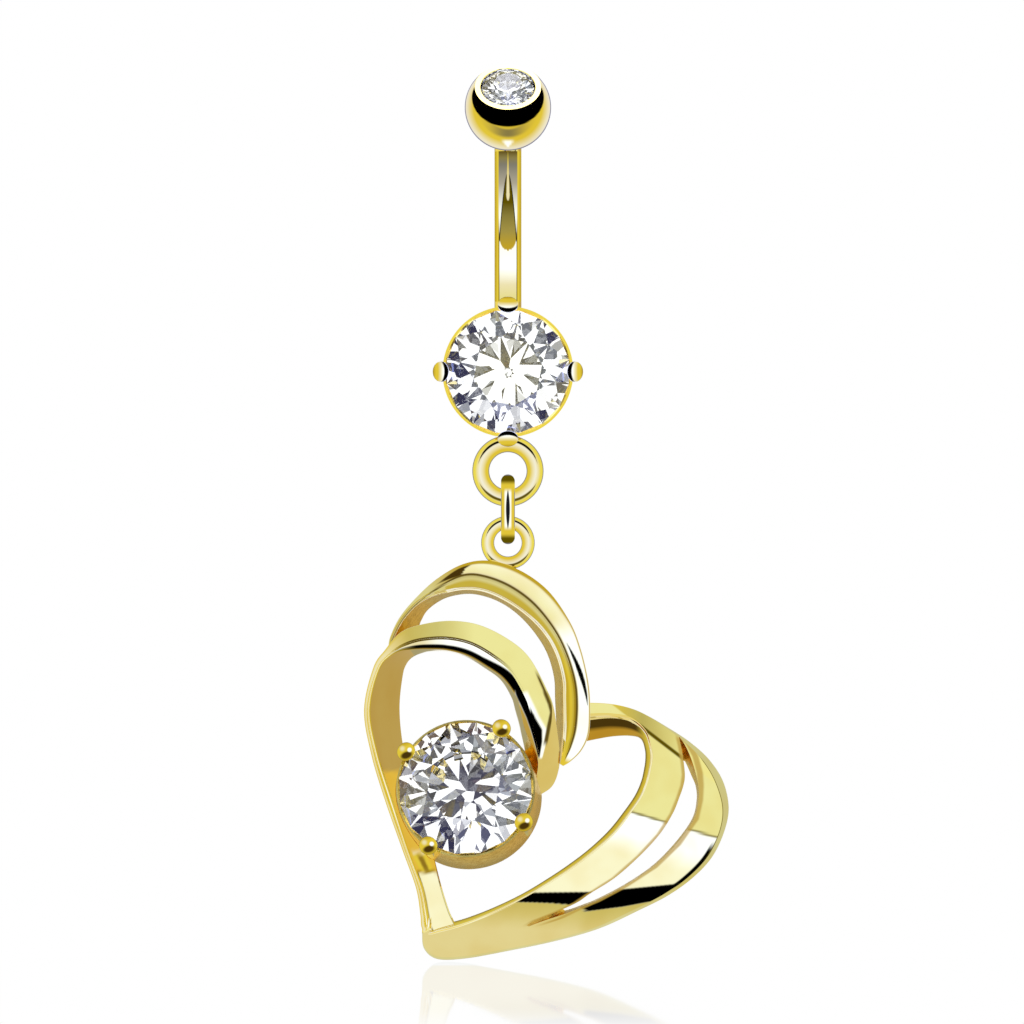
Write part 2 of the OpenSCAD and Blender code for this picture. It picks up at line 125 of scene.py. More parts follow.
# Settings: the gap round a stone, the basket's rim, the ring of its beads and the cup
STONE_GAP = 0.05 * MM
RIM_R = BASKET_STONE_D / 2 + STONE_GAP + RIM_W
CLAW_R = RIM_R + 0.1 * PRONG_BEAD_D
CUP_R = HEART_STONE_D / 2 + STONE_GAP + CUP_WALL

# The photograph's frame
VIEW_WIDTH = 60.24 * MM
VIEW_CENTRE = (0.24 * MM, -16.7 * MM)
CAMERA_DISTANCE = 0.6
SENSOR = 36.0
FRONT_Y = -6.5 * MM
FLOOR_DROP = 0.08 * MM
FLOOR_HALF = 1.2

# Each row is a section across a ribbon, clockwise round the heart as seen from the front. Lengths
# across are shares of HEART_W, up from the tip of HEART_H, and in depth of HEART_DEPTH. The columns
# are outer_u, outer_v, inner_u, inner_v, edge, ridge, lip, heel, top, back_in, back_out.
LEFT_RIBBON = [
    [0.190, 0.030,  0.262, 0.060,  0.00, 0.10, 0.24, 0.40,  0.70, 0.40, 0.05],
    [0.159, 0.078,  0.246, 0.098,  0.00, 0.10, 0.24, 0.42,  0.97, 0.78, 0.00],
    [0.154, 0.114,  0.232, 0.126,  0.00, 0.10, 0.24, 0.45,  1.00, 0.82, 0.00],
    [0.142, 0.181,  0.210, 0.191,  0.00, 0.10, 0.24, 0.50,  1.00, 0.80, 0.00],
    [0.105, 0.276,  0.178, 0.298,  0.00, 0.08, 0.20, 0.50,  1.00, 0.00, 0.00],
    [0.057, 0.401,  0.134, 0.424,  0.00, 0.08, 0.24, 0.50,  1.00, 0.00, 0.00],
    [0.020, 0.514,  0.106, 0.531,  0.00, 0.08, 0.20, 0.55,  1.00, 0.00, 0.00],
    [0.000, 0.626,  0.096, 0.626,  0.00, 0.08, 0.17, 0.58,  1.00, 0.00, 0.00],
    [0.025, 0.731,  0.104, 0.706,  0.00, 0.12, 0.20, 0.55,  1.00, 0.00, 0.00],
    [0.057, 0.776,  0.115, 0.739,  0.00, 0.22, 0.33, 0.50,  1.00, 0.05, 0.00],
    [0.098, 0.819,  0.137, 0.759,  0.00, 0.40, 0.70, 0.40,  1.00, 0.15, 0.05],
    [0.153, 0.839,  0.175, 0.770,  0.00, 0.46, 0.88, 0.30,  1.00, 0.22, 0.10],
    [0.235, 0.849,  0.227, 0.770,  0.00, 0.50, 0.93, 0.30,  1.00, 0.25, 0.10],
    [0.317, 0.838,  0.279, 0.756,  0.00, 0.52, 0.93, 0.30,  1.00, 0.25, 0.10],
    [0.399, 0.800,  0.328, 0.729,  0.00, 0.54, 0.92, 0.30,  1.00, 0.25, 0.10],
    [0.454, 0.754,  0.372, 0.699,  0.00, 0.55, 0.90, 0.30,  0.98, 0.22, 0.10],
    [0.500, 0.676,  0.402, 0.656,  0.00, 0.55, 0.86, 0.30,  0.95, 0.15, 0.05],
    [0.518, 0.636,  0.413, 0.622,  0.04, 0.55, 0.86, 0.30,  0.92, 0.05, 0.00],
    [0.529, 0.576,  0.426, 0.576,  0.18, 0.60, 0.86, 0.35,  0.86, 0.00, 0.00],
    [0.536, 0.521,  0.437, 0.531,  0.38, 0.60, 0.72, 0.40,  0.78, 0.00, 0.00],
    [0.534, 0.474,  0.442, 0.500,  0.58, 0.60, 0.62, 0.45,  0.66, 0.00, 0.00],
    [0.514, 0.429,  0.440, 0.462,  0.58, 0.60, 0.62, 0.45,  0.50, 0.00, 0.00],
    [0.464, 0.401,  0.425, 0.430,  0.58, 0.60, 0.62, 0.45,  0.36, 0.00, 0.00],
]
TOP_RIBBON = [
    [0.066, 0.776,  0.118, 0.770,  0.00, 0.08, 0.14, 0.55,  0.62, 0.00, 0.00],
    [0.070, 0.806,  0.144, 0.821,  0.00, 0.08, 0.15, 0.55,  0.72, 0.00, 0.00],
    [0.096, 0.856,  0.156, 0.849,  0.00, 0.12, 0.22, 0.55,  0.80, 0.00, 0.00],
    [0.139, 0.904,  0.176, 0.877,  0.00, 0.20, 0.36, 0.50,  0.86, 0.00, 0.00],
    [0.199, 0.954,  0.221, 0.904,  0.00, 0.36, 0.74, 0.40,  0.90, 0.05, 0.00],
    [0.271, 0.991,  0.279, 0.915,  0.00, 0.36, 0.86, 0.20,  0.90, 0.10, 0.05],
    [0.344, 0.999,  0.328, 0.909,  0.00, 0.45, 0.88, 0.12,  0.90, 0.10, 0.05],
    [0.426, 0.975,  0.377, 0.891,  0.00, 0.49, 0.90, 0.12,  0.90, 0.10, 0.05],
    [0.503, 0.924,  0.424, 0.860,  0.00, 0.50, 0.87, 0.24,  0.90, 0.10, 0.05],
    [0.563, 0.846,  0.467, 0.816,  0.00, 0.48, 0.79, 0.30,  0.90, 0.10, 0.05],
    [0.593, 0.776,  0.500, 0.766,  0.00, 0.45, 0.76, 0.30,  0.90, 0.05, 0.00],
    [0.612, 0.701,  0.519, 0.706,  0.00, 0.40, 0.76, 0.30,  0.90, 0.00, 0.00],
    [0.618, 0.639,  0.522, 0.651,  0.00, 0.38, 0.77, 0.30,  0.88, 0.00, 0.00],
    [0.615, 0.569,  0.525, 0.596,  0.00, 0.42, 0.78, 0.30,  0.82, 0.00, 0.00],
    [0.596, 0.526,  0.528, 0.550,  0.00, 0.46, 0.78, 0.30,  0.72, 0.00, 0.00],
    [0.566, 0.497,  0.532, 0.512,  0.00, 0.48, 0.78, 0.30,  0.58, 0.05, 0.05],
    [0.545, 0.484,  0.534, 0.490,  0.00, 0.48, 0.78, 0.30,  0.42, 0.15, 0.15],
]
RIGHT_RIBBON = [
    [0.568, 0.641,  0.568, 0.536,  0.00, 0.10, 0.20, 0.55,  0.56, 0.00, 0.00],
    [0.618, 0.643,  0.618, 0.546,  0.00, 0.10, 0.20, 0.55,  0.62, 0.00, 0.00],
    [0.678, 0.640,  0.678, 0.556,  0.00, 0.10, 0.20, 0.55,  0.70, 0.00, 0.00],
    [0.732, 0.629,  0.727, 0.558,  0.00, 0.14, 0.28, 0.55,  0.80, 0.00, 0.00],
    [0.776, 0.611,  0.757, 0.551,  0.00, 0.40, 0.52, 0.50,  0.88, 0.05, 0.00],
    [0.828, 0.584,  0.768, 0.526,  0.04, 0.68, 0.75, 0.35,  0.94, 0.30, 0.04],
    [0.891, 0.546,  0.769, 0.501,  0.08, 0.80, 0.85, 0.20,  0.98, 0.45, 0.08],
    [0.945, 0.501,  0.765, 0.476,  0.10, 0.87, 0.90, 0.12,  1.00, 0.55, 0.10],
    [0.984, 0.446,  0.757, 0.446,  0.10, 0.90, 0.92, 0.10,  1.00, 0.60, 0.12],
    [1.000, 0.381,  0.740, 0.411,  0.07, 0.91, 0.93, 0.08,  1.00, 0.60, 0.12],
    [0.989, 0.321,  0.710, 0.371,  0.05, 0.92, 0.94, 0.08,  1.00, 0.60, 0.12],
    [0.956, 0.256,  0.669, 0.324,  0.05, 0.92, 0.94, 0.08,  1.00, 0.60, 0.12],
    [0.904, 0.204,  0.617, 0.279,  0.05, 0.93, 0.95, 0.08,  1.00, 0.60, 0.14],
    [0.836, 0.159,  0.563, 0.241,  0.05, 0.93, 0.95, 0.08,  1.00, 0.60, 0.16],
    [0.754, 0.121,  0.503, 0.204,  0.05, 0.93, 0.95, 0.08,  1.00, 0.58, 0.18],
    [0.645, 0.076,  0.432, 0.165,  0.05, 0.93, 0.95, 0.08,  1.00, 0.52, 0.18],
    [0.522, 0.045,  0.361, 0.133,  0.05, 0.91, 0.94, 0.08,  1.00, 0.42, 0.14],
    [0.385, 0.020,  0.295, 0.108,  0.06, 0.88, 0.92, 0.08,  1.00, 0.25, 0.08],
    [0.276, 0.003,  0.249, 0.094,  0.07, 0.84, 0.90, 0.08,  1.00, 0.05, 0.00],
    [0.200, 0.002,  0.205, 0.084,  0.08, 0.80, 0.88, 0.10,  1.00, 0.00, 0.00],
    [0.164, 0.028,  0.182, 0.074,  0.08, 0.75, 0.86, 0.20,  1.00, 0.00, 0.00],
    [0.158, 0.068,  0.196, 0.086,  0.05, 0.45, 0.60, 0.35,  1.00, 0.00, 0.00],
    [0.162, 0.110,  0.200, 0.118,  0.05, 0.30, 0.50, 0.40,  0.93, 0.02, 0.02],
    [0.162, 0.142,  0.196, 0.148,  0.05, 0.20, 0.40, 0.45,  0.70, 0.10, 0.10],
]
# The slot that splits the right ribbon. The columns are near_u, near_v: its edge toward the
# opening, far_u, far_v: its other edge at the floor, rim_u, rim_v: the same edge at the front, and
# floor: the height of its floor.
SLOT_CUT = [
    [0.860, 0.561,  0.862, 0.560,  0.866, 0.562,  0.80],
    [0.866, 0.536,  0.869, 0.536,  0.888, 0.540,  0.50],
    [0.872, 0.506,  0.877, 0.504,  0.906, 0.509,  0.30],
    [0.877, 0.464,  0.885, 0.461,  0.918, 0.469, -0.10],
    [0.873, 0.437,  0.902, 0.434,  0.921, 0.436, -0.10],
    [0.861, 0.405,  0.907, 0.399,  0.919, 0.399, -0.10],
    [0.844, 0.367,  0.894, 0.351,  0.907, 0.351, -0.10],
    [0.809, 0.316,  0.849, 0.294,  0.858, 0.287, -0.10],
    [0.754, 0.261,  0.787, 0.236,  0.793, 0.230, -0.10],
    [0.686, 0.206,  0.710, 0.188,  0.714, 0.183, -0.10],
    [0.617, 0.166,  0.631, 0.151,  0.637, 0.146, -0.10],
    [0.582, 0.144,  0.590, 0.137,  0.598, 0.131, -0.10],
    [0.522, 0.119,  0.527, 0.113,  0.536, 0.104,  0.55],
    [0.467, 0.099,  0.470, 0.093,  0.475, 0.085,  0.72],
    [0.426, 0.077,  0.428, 0.073,  0.431, 0.069,  0.88],
]

# How fine the meshes are, how far corners are rounded, and which edges stay crisp
RIBBON_STEPS = 8
SHAFT_STEPS = 96
BALL_STEPS = 72
SETTING_SIDES = 112
BORE_SIDES = 64
POST_SIDES = 28
SHAFT_SIDES = 56
CORNER_SHARE = 0.45
CRISP, SOFT = 0.05 * MM, 0.12 * MM
CREASE_ANGLE = math.radians(34)
FACING_FRONT = Matrix.Rotation(math.pi / 2, 4, "X")

# Material slots: polished and rough metal in the heart, polished metal and foil in the ball
POLISHED, CAST, FOIL = 0, 1, 1

# What the plating reflects, polished and as it was cast; the cast colour is more orange as painted shade of
# the recesses it lines
GOLD = (0.93, 0.80, 0.34)
ROUGH_GOLD_PAINTED_SHADE = (0.96, 0.70, 0.20)


def lookup_places(frame):
    """The places that the frame gives: the basket's stone, the three rings and the heart's corner."""
    _, hang_y, hinge_z = next(joint["pos_m"] for joint in frame["joints"] if joint["name"] == "heart_swing")
    low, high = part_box("barbell_stone")
    basket_z = (low.z + high.z) / 2
    basket_y = low.y + (GIRDLE_SHARE / 2 + CROWN_SHARE) * BASKET_STONE_D
    heart_low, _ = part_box("heart_frame")
    return {
        "basket": Vector((0, basket_y, basket_z)),
        "hang_y": hang_y,
        "hanger_z": basket_z - RIM_R - HANGER_OD / 2 + SOLDER_BITE,
        "link_z": hinge_z + (LINK_OD - LINK_WIRE) / 2,
        "bail_z": hinge_z + LINK_WIRE / 2 + HANG_GAP - (BAIL_OD / 2 - BAIL_WIRE),
        "heart": Vector((heart_low.x, hang_y + HEART_DEPTH / 2, heart_low.z)),
    }


def new_object(name, mesh):
    """Links a mesh as an object."""
    piece = bpy.data.objects.new(name, mesh)
    bpy.context.scene.collection.objects.link(piece)
    return piece


def solid(name, points, faces, slots=None):
    """A closed mesh object whose faces all look outward."""
    mesh = bpy.data.meshes.new(name)
    mesh.from_pydata([tuple(p) for p in points], [], faces)
    if slots:
        mesh.polygons.foreach_set("material_index", slots)
    made = bmesh.new()
    made.from_mesh(mesh)
    bmesh.ops.remove_doubles(made, verts=made.verts, dist=1e-9)
    bmesh.ops.dissolve_degenerate(made, edges=made.edges, dist=1e-9)
    bmesh.ops.recalc_face_normals(made, faces=made.faces)
    made.to_mesh(mesh)
    made.free()
    return new_object(name, mesh)


def loft(name, sections, edge_slots=None):
    """A closed solid through sections that all have the same number of corners."""
    n = len(sections[0])
    edge_slots = edge_slots or [POLISHED] * n
    points = [p for section in sections for p in section]
    last = (len(sections) - 1) * n
    faces = [list(range(n)), [last + k for k in reversed(range(n))]]
    slots = [CAST, CAST]
    for s in range(len(sections) - 1):
        for k in range(n):
            following = (k + 1) % n
            faces.append([s * n + k, (s + 1) * n + k, (s + 1) * n + following, s * n + following])
            slots.append(edge_slots[k])
    return solid(name, points, faces, slots)


def lathe(name, profile, place, segments=96, slots=None):
    """A closed solid of revolution. The profile runs from the axis to the axis as (r, z)."""
    slots = slots or [POLISHED] * (len(profile) - 1)
    points = [(0, 0, profile[0][1]), (0, 0, profile[-1][1])]
    ring = profile[1:-1]
    for r, z in ring:
        for k in range(segments):
            turn = 2 * math.pi * k / segments
            points.append((r * math.cos(turn), r * math.sin(turn), z))
    faces, face_slots = [], []
    last = 2 + (len(ring) - 1) * segments
    for k in range(segments):
        following = (k + 1) % segments
        faces += [[0, 2 + following, 2 + k], [1, last + k, last + following]]
        face_slots += [slots[0], slots[-1]]
        for i in range(len(ring) - 1):
            a, b = 2 + i * segments, 2 + (i + 1) * segments
            faces.append([a + k, a + following, b + following, b + k])
            face_slots.append(slots[i + 1])
    piece = solid(name, points, faces, face_slots)
    piece.data.transform(place)
    return piece


def tube(name, centres, radii, directions, sides=40):
    """A closed tube through centres, with a flat round cap at each end."""
    sections = []
    for centre, radius, along in zip(centres, radii, directions):
        turn = Vector((0, 0, 1)).rotation_difference(Vector(along)).to_matrix()
        angles = [2 * math.pi * k / sides for k in range(sides)]
        sections.append([centre + turn @ Vector((radius * math.cos(angle), radius * math.sin(angle), 0))
                         for angle in angles])
    return loft(name, sections)


def torus(name, od, wire, place, around=128, sides=36):
    """A round ring about its own Z axis."""
    radius = (od - wire) / 2
    points, faces = [], []
    for k in range(around):
        turn = 2 * math.pi * k / around
        for m in range(sides):
            angle = 2 * math.pi * m / sides
            r = radius + wire / 2 * math.cos(angle)
            points.append((r * math.cos(turn), r * math.sin(turn), wire / 2 * math.sin(angle)))
    for k in range(around):
        for m in range(sides):
            a, b = k * sides, ((k + 1) % around) * sides
            following = (m + 1) % sides
            faces.append([a + m, b + m, b + following, a + following])
    piece = solid(name, points, faces)
    piece.data.transform(place)
    return piece


def ellipsoid(name, half, place, sides=36, rings=24):
    """A closed ball with three half axes."""
    profile = [(math.sin(math.pi * i / rings), -math.cos(math.pi * i / rings)) for i in range(rings + 1)]
    return lathe(name, profile, place @ Matrix.Diagonal((*half, 1)), sides)


def combine(base, others, operation="UNION"):
    """Joins the other solids to the base, or cuts them from it, and removes them."""
    for other in others:
        step = base.modifiers.new("combine", "BOOLEAN")
        step.operation = operation
        step.solver = "MANIFOLD"
        step.object = other
        bpy.context.view_layer.update()
        result = bpy.data.meshes.new_from_object(base.evaluated_get(bpy.context.evaluated_depsgraph_get()))
        base.modifiers.clear()
        base.data = result
        bpy.data.objects.remove(other)
    return base


def finish_piece(piece, name, materials):
    """Names a piece, gives it its materials and shades it smooth, with crisp edges kept."""
    piece.name = name
    mesh = piece.data
    mesh.name = name
    indices = np.zeros(len(mesh.polygons), np.int32)
    mesh.polygons.foreach_get("material_index", indices)
    mesh.materials.clear()
    for material in materials:
        mesh.materials.append(material)
    mesh.polygons.foreach_set("material_index", np.minimum(indices, len(materials) - 1))
    mesh.shade_smooth()
    mesh.set_sharp_from_angle(angle=CREASE_ANGLE)
    mesh.update()
    return piece


def smooth_rows(rows, steps):
    """A Catmull-Rom curve through the rows of a table."""
    rows = np.array(rows, float)
    result = []
    for i in range(len(rows) - 1):
        a, b, c, d = rows[max(i - 1, 0)], rows[i], rows[i + 1], rows[min(i + 2, len(rows) - 1)]
        for s in range(steps):
            t = s / steps
            bend = (2 * a - 5 * b + 4 * c - d) + t * (3 * b - a - 3 * c + d)
            result.append(b + 0.5 * t * ((c - a) + t * bend))
    result.append(rows[-1])
    return result


def rounded_outline(corners, arc_steps=4):
    """Rounds a section's corners and crowns its sides.

    Each corner is (across, height, radius, bulge, steps, slot): the last three are for the side
    that follows it. Returns the points and the slot of the side after each point.
    """
    n = len(corners)
    places = [Vector(corner[:2]) for corner in corners]
    points, slots = [], []
    for i, (_, _, radius, bulge, steps, slot) in enumerate(corners):
        here, before, after = places[i], places[i - 1], places[(i + 1) % n]
        back, on = before - here, after - here
        start = here + back.normalized() * min(radius, CORNER_SHARE * back.length)
        end = here + on.normalized() * min(radius, CORNER_SHARE * on.length)
        for k in range(arc_steps + 1):
            t = k / arc_steps
            points.append((1 - t) ** 2 * start + 2 * t * (1 - t) * here + t * t * end)
            slots.append(corners[i - 1][5] if k < arc_steps / 2 else slot)
        stop = after - on.normalized() * min(corners[(i + 1) % n][2], CORNER_SHARE * on.length)
        normal = Vector((-on.y, on.x)).normalized()
        for k in range(1, steps):
            t = k / steps
            points.append(end.lerp(stop, t) + normal * bulge * 4 * t * (1 - t))
            slots.append(slot)
    return points, slots


def ribbon_section(row, inner_form, lean, crown):
    """The rounded section of a ribbon from one row, in the heart's own place, and its slots."""
    outer_u, outer_v, inner_u, inner_v, *shares = row
    outer = Vector((outer_u * HEART_W, outer_v * HEART_H))
    across = Vector((inner_u * HEART_W, inner_v * HEART_H)) - outer
    width = across.length
    edge, ridge, lip, heel = (share * width for share in shares[:4])
    top, back_in, back_out = (share * HEART_DEPTH for share in shares[4:])
    edge_h = top - (ridge - edge) * math.tan(lean)
    side_h = edge_h - (edge + 0.04 * HEART_DEPTH) * math.tan(BEVEL_LEAN)
    lip_h = top - (lip - ridge) * math.tan(INNER_LEAN)
    corners = [
        (heel, back_out, SOFT, 0, 3, POLISHED),
        (0, side_h, SOFT, 0, 1, POLISHED),
        (edge, edge_h, CRISP, crown * (ridge - edge), 6, POLISHED),
    ]
    corners += inner_form(ridge, lip, width, top, lip_h)
    corners.append((width, back_in, CRISP, 0, 4, POLISHED))
    points, slots = rounded_outline(corners)
    along = across.normalized()
    place = [(outer.x + along.x * p.x, -p.y, outer.y + along.y * p.x) for p in points]
    return place, slots


def plain_inner(ridge, lip, width, top, lip_h):
    """The inner side of the right ribbon: a crease, a rounded rim, then the wall."""
    rim = width - ridge
    return [
        (ridge + 0.20 * rim, top, 0.02 * MM, 0, 1, POLISHED),
        (ridge + 0.34 * rim, top - 0.20 * rim, 0.02 * MM, 0.10 * rim, 6, POLISHED),
        (lip + 0.25 * (width - lip), lip_h - 0.10 * rim, 0.06 * MM, 0.05 * rim, 4, POLISHED),
    ]


def rolled_inner(ridge, lip, width, top, lip_h):
    """The inner side of the left ribbon: a crease, then it rolls over to the lip."""
    run = lip - ridge
    step = min(0.10 * MM, 0.2 * run)
    return [
        (ridge, top, 0.02 * MM, 0, 1, POLISHED),
        (ridge + step, top - 0.9 * step, 0.02 * MM, 0.12 * run, 10, POLISHED),
        (lip, top - run * math.tan(ROLL_LEAN), 0.03 * MM, 0, 4, POLISHED),
    ]


def stepped_inner(ridge, lip, width, top, lip_h):
    """The inner side of the top ribbon: a step down, a hollow and a raised lip."""
    run = lip - ridge
    fall = top - lip_h
    return [
        (ridge, top, 0.04 * MM, 0, 1, POLISHED),
        (ridge + 0.16 * run, top - 0.50 * fall, 0.08 * MM, -0.05 * run, 6, POLISHED),
        (ridge + 0.78 * run, top - 0.85 * fall, 0.06 * MM, 0.03 * run, 3, POLISHED),
        (lip, top - 0.95 * fall, 0.05 * MM, 0, 4, CAST),
    ]


# Each ribbon's form: its inner side, the lean of its outer face, and that face's crown
RIGHT_FORM = (plain_inner, RIGHT_LEAN, 0.010)
LEFT_FORM = (rolled_inner, LEFT_LEAN, 0.008)
TOP_FORM = (stepped_inner, TOP_LEAN, 0.008)


def ribbon(name, rows, form):
    """A ribbon along the rows of its table."""
    outlines = [ribbon_section(row, *form) for row in smooth_rows(rows, RIBBON_STEPS)]
    return loft(name, [points for points, _ in outlines], outlines[-1][1])


def slot_solid():
    """The slot that is cut through the right ribbon."""
    sections = []
    above = 1.1 * HEART_DEPTH
    for near_u, near_v, far_u, far_v, rim_u, rim_v, floor in smooth_rows(SLOT_CUT, RIBBON_STEPS):
        base = floor * HEART_DEPTH
        corners = ((far_u, far_v, base), (rim_u, rim_v, above),
                   (near_u, near_v, above), (near_u, near_v, base))
        sections.append([(u * HEART_W, -depth, v * HEART_H) for u, v, depth in corners])
    return loft("slot", sections, [CAST] * 4)


def stone_room(d, place):
    """The round room that a stone fills, with the gap round it."""
    r = d / 2 + STONE_GAP
    half = GIRDLE_SHARE * d / 2 + STONE_GAP
    depth = PAVILION_SHARE * d + STONE_GAP
    crown = CROWN_SHARE * d + STONE_GAP
    return lathe("room", [(0, -half - depth), (r, -half), (r, half),
                          (TABLE_SHARE * d / 2 + STONE_GAP, half + crown), (0, half + crown)],
                 place, SETTING_SIDES)


def bore(name, d, low, high, place):
    """A plain round hole's solid along +Z."""
    return lathe(name, [(0, low), (d / 2, low), (d / 2, high), (0, high)], place, BORE_SIDES)


def cup_place(places):
    """The stone cup's own frame in the heart: its girdle at the origin, +Z toward the viewer."""
    u, v, q = CUP_AT
    at = places["heart"] + Vector((u * HEART_W, -q * HEART_DEPTH, v * HEART_H))
    turn = Matrix.Rotation(-CUP_YAW, 4, "Z") @ Matrix.Rotation(math.pi / 2 - CUP_PITCH, 4, "X")
    return Matrix.Translation(at) @ turn


def prongs(name, place, foot, shoulder_r, bead_half, first_turn):
    """Four prongs: each a tapered post from its foot, given as (r, z), to its shoulder, and a bead
    that leans over the stone."""
    made = []
    for k in range(4):
        spin = place @ Matrix.Rotation(first_turn + k * math.pi / 2, 4, "Z")
        low, high = Vector((foot[0], 0, foot[1])), Vector((shoulder_r, 0, BEAD_RISE))
        shares = [i / POST_STEPS for i in range(POST_STEPS + 1)]
        radii = [PRONG_D / 2 * (1 - POST_WAIST * math.sin(math.pi * share)) for share in shares]
        post = tube(name, [low.lerp(high, share) for share in shares], radii,
                    [(high - low).normalized()] * len(shares), POST_SIDES)
        post.data.transform(spin)
        bead = Matrix.Translation((shoulder_r - BEAD_LEAN, 0, BEAD_RISE))
        made += [post, ellipsoid(name + "_bead", bead_half, spin @ bead)]
    return made


def build_heart(places, materials):
    """The cast heart: three ribbons, the stone's cup with its prongs, and the bail ring."""
    shift = Matrix.Translation(places["heart"])
    right = ribbon("right", RIGHT_RIBBON, RIGHT_FORM)
    combine(right, [slot_solid()], "DIFFERENCE")
    left = ribbon("left", LEFT_RIBBON, LEFT_FORM)
    top = ribbon("top", TOP_RIBBON, TOP_FORM)
    for piece in (right, left, top):
        piece.data.transform(shift)

    place = cup_place(places)
    cup = lathe("cup", [(0, -CUP_DEPTH), (CUP_R, -CUP_DEPTH), (CUP_R + 0.7 * CUP_FLARE, -0.96 * CUP_DEPTH),
                        (CUP_R + CUP_FLARE, -0.88 * CUP_DEPTH), (CUP_R, -STONE_GAP), (0, -STONE_GAP)],
                place, SETTING_SIDES, [CAST, CAST, CAST, CAST, POLISHED])
    foot = (CUP_R - 0.15 * MM, -0.70 * CUP_DEPTH)
    combine(cup, prongs("prong", place, foot, CUP_R, HEART_BEAD, CUP_PRONG_TURN))
    combine(cup, [stone_room(HEART_STONE_D, place), bore("hole", CUP_HOLE_D, -2 * CUP_DEPTH, 0, place)],
            "DIFFERENCE")
    bail = torus("bail", BAIL_OD, BAIL_WIRE,
                 Matrix.Translation((0, places["hang_y"], places["bail_z"])) @ FACING_FRONT)
    heart = combine(right, [left, top, cup, bail])
    return finish_piece(heart, "heart_casting", materials)


def bar_point(turn):
    """A point of the bent shaft's middle line, and its direction, at a turn from the origin."""
    return (
        Vector((0, -BAR_BEND_R + BAR_BEND_R * math.cos(turn), BAR_BEND_R * math.sin(turn))),
        Vector((0, -math.sin(turn), math.cos(turn))),
    )


def build_stub(place):
    """The threaded stub: a rod with a fine helical ridge."""
    sides, per_turn = 48, 12
    start, stop = -0.2 * BAR_D, STUB_LEN
    rings = int((stop - start) / THREAD_PITCH * per_turn)
    sections = []
    for i in range(rings + 1):
        z = start + (stop - start) * i / rings
        depth = min(1.0, max(0.0, (z - 0.2 * MM) / (0.2 * MM)), (stop - z) / (0.25 * MM))
        section = []
        for k in range(sides):
            share = (z / THREAD_PITCH - k / sides) % 1.0
            r = STUB_D / 2 - THREAD_DEPTH * abs(2 * share - 1) * max(depth, 0.0)
            turn = 2 * math.pi * k / sides
            section.append((r * math.cos(turn), r * math.sin(turn), z))
        sections.append(section)
    stub = loft("stub", sections)
    stub.data.transform(place)
    return stub


def top_place():
    """The shaft's upper end: +Z along the ball's axis."""
    shoulder, _ = bar_point(BAR_TOP_TURN)
    return Matrix.Translation(shoulder) @ Matrix.Rotation(BAR_TOP_TURN, 4, "X")


def build_barbell(places, materials):
    """The shaft with its stub, the basket with its prongs, and the hanger ring."""
    turns = [-BAR_LOW_TURN + (BAR_LOW_TURN + BAR_TOP_TURN) * i / SHAFT_STEPS for i in range(SHAFT_STEPS + 1)]
    centres, directions = zip(*[bar_point(turn) for turn in turns])
    shaft = tube("shaft", centres, [BAR_D / 2] * len(turns), directions, SHAFT_SIDES)

    place = Matrix.Translation(places["basket"]) @ FACING_FRONT
    depth, rim_front = BASKET_DEPTH, GIRDLE_SHARE * BASKET_STONE_D / 2
    basket = lathe("basket", [(0, -depth), (BASKET_BACK_R, -depth), (0.8 * RIM_R, -0.36 * depth),
                              (RIM_R, -0.2 * depth), (RIM_R, rim_front), (0, rim_front)],
                   place, SETTING_SIDES)
    combine(basket, prongs("claw", place, (BASKET_BACK_R, -depth + PRONG_D / 2), CLAW_R, CLAW_BEAD, 0))
    cuts = [stone_room(BASKET_STONE_D, place)]
    for turn in (45, 135):
        across = place @ Matrix.Rotation(math.radians(turn), 4, "Z") @ FACING_FRONT
        cuts.append(bore("window", WINDOW_D, -1.5 * RIM_R, 1.5 * RIM_R,
                         across @ Matrix.Translation((0, -0.5 * depth, 0))))
    combine(basket, cuts, "DIFFERENCE")
    hanger = torus("hanger", HANGER_OD, HANGER_WIRE,
                   Matrix.Translation((0, places["hang_y"], places["hanger_z"])) @ FACING_FRONT)
    barbell = combine(basket, [shaft, build_stub(top_place()), hanger])
    return finish_piece(barbell, "curved_barbell", materials)


def build_ball(materials):
    """The screw-on ball: bore, polished dome, and the flat seat round its stone."""
    r = BALL_D / 2
    foot_z = math.sqrt(r ** 2 - (BAR_D / 2) ** 2)
    flat_z = math.sqrt(r ** 2 - (BALL_FLAT_D / 2) ** 2)
    stone_z = flat_z - SEAT_SINK * r
    bore_r = STUB_D / 2 + BORE_GAP
    bore_end = SHOULDER_GAP + STUB_LEN + BORE_GAP - foot_z
    start, stop = math.atan2(-foot_z, BAR_D / 2), math.atan2(flat_z, BALL_FLAT_D / 2)
    dips = [start + (stop - start) * i / BALL_STEPS for i in range(BALL_STEPS + 1)]
    arc = [(r * math.cos(dip), r * math.sin(dip)) for dip in dips]
    seat_r = BALL_STONE_D / 2 + STONE_GAP
    half = GIRDLE_SHARE * BALL_STONE_D / 2 + STONE_GAP
    profile = [(0, bore_end), (bore_r, bore_end), (bore_r, -foot_z)] + arc + [
        (seat_r + SEAT_CHAMFER, flat_z), (seat_r, flat_z - SEAT_CHAMFER), (seat_r, stone_z - half),
        (0, stone_z - half - PAVILION_SHARE * BALL_STONE_D)]
    place = top_place() @ Matrix.Translation((0, 0, foot_z + SHOULDER_GAP))
    slots = [POLISHED] * (len(profile) - 3) + [FOIL] * 2
    return finish_piece(lathe("ball", profile, place, 2 * BALL_STEPS, slots), "screw_ball", materials)


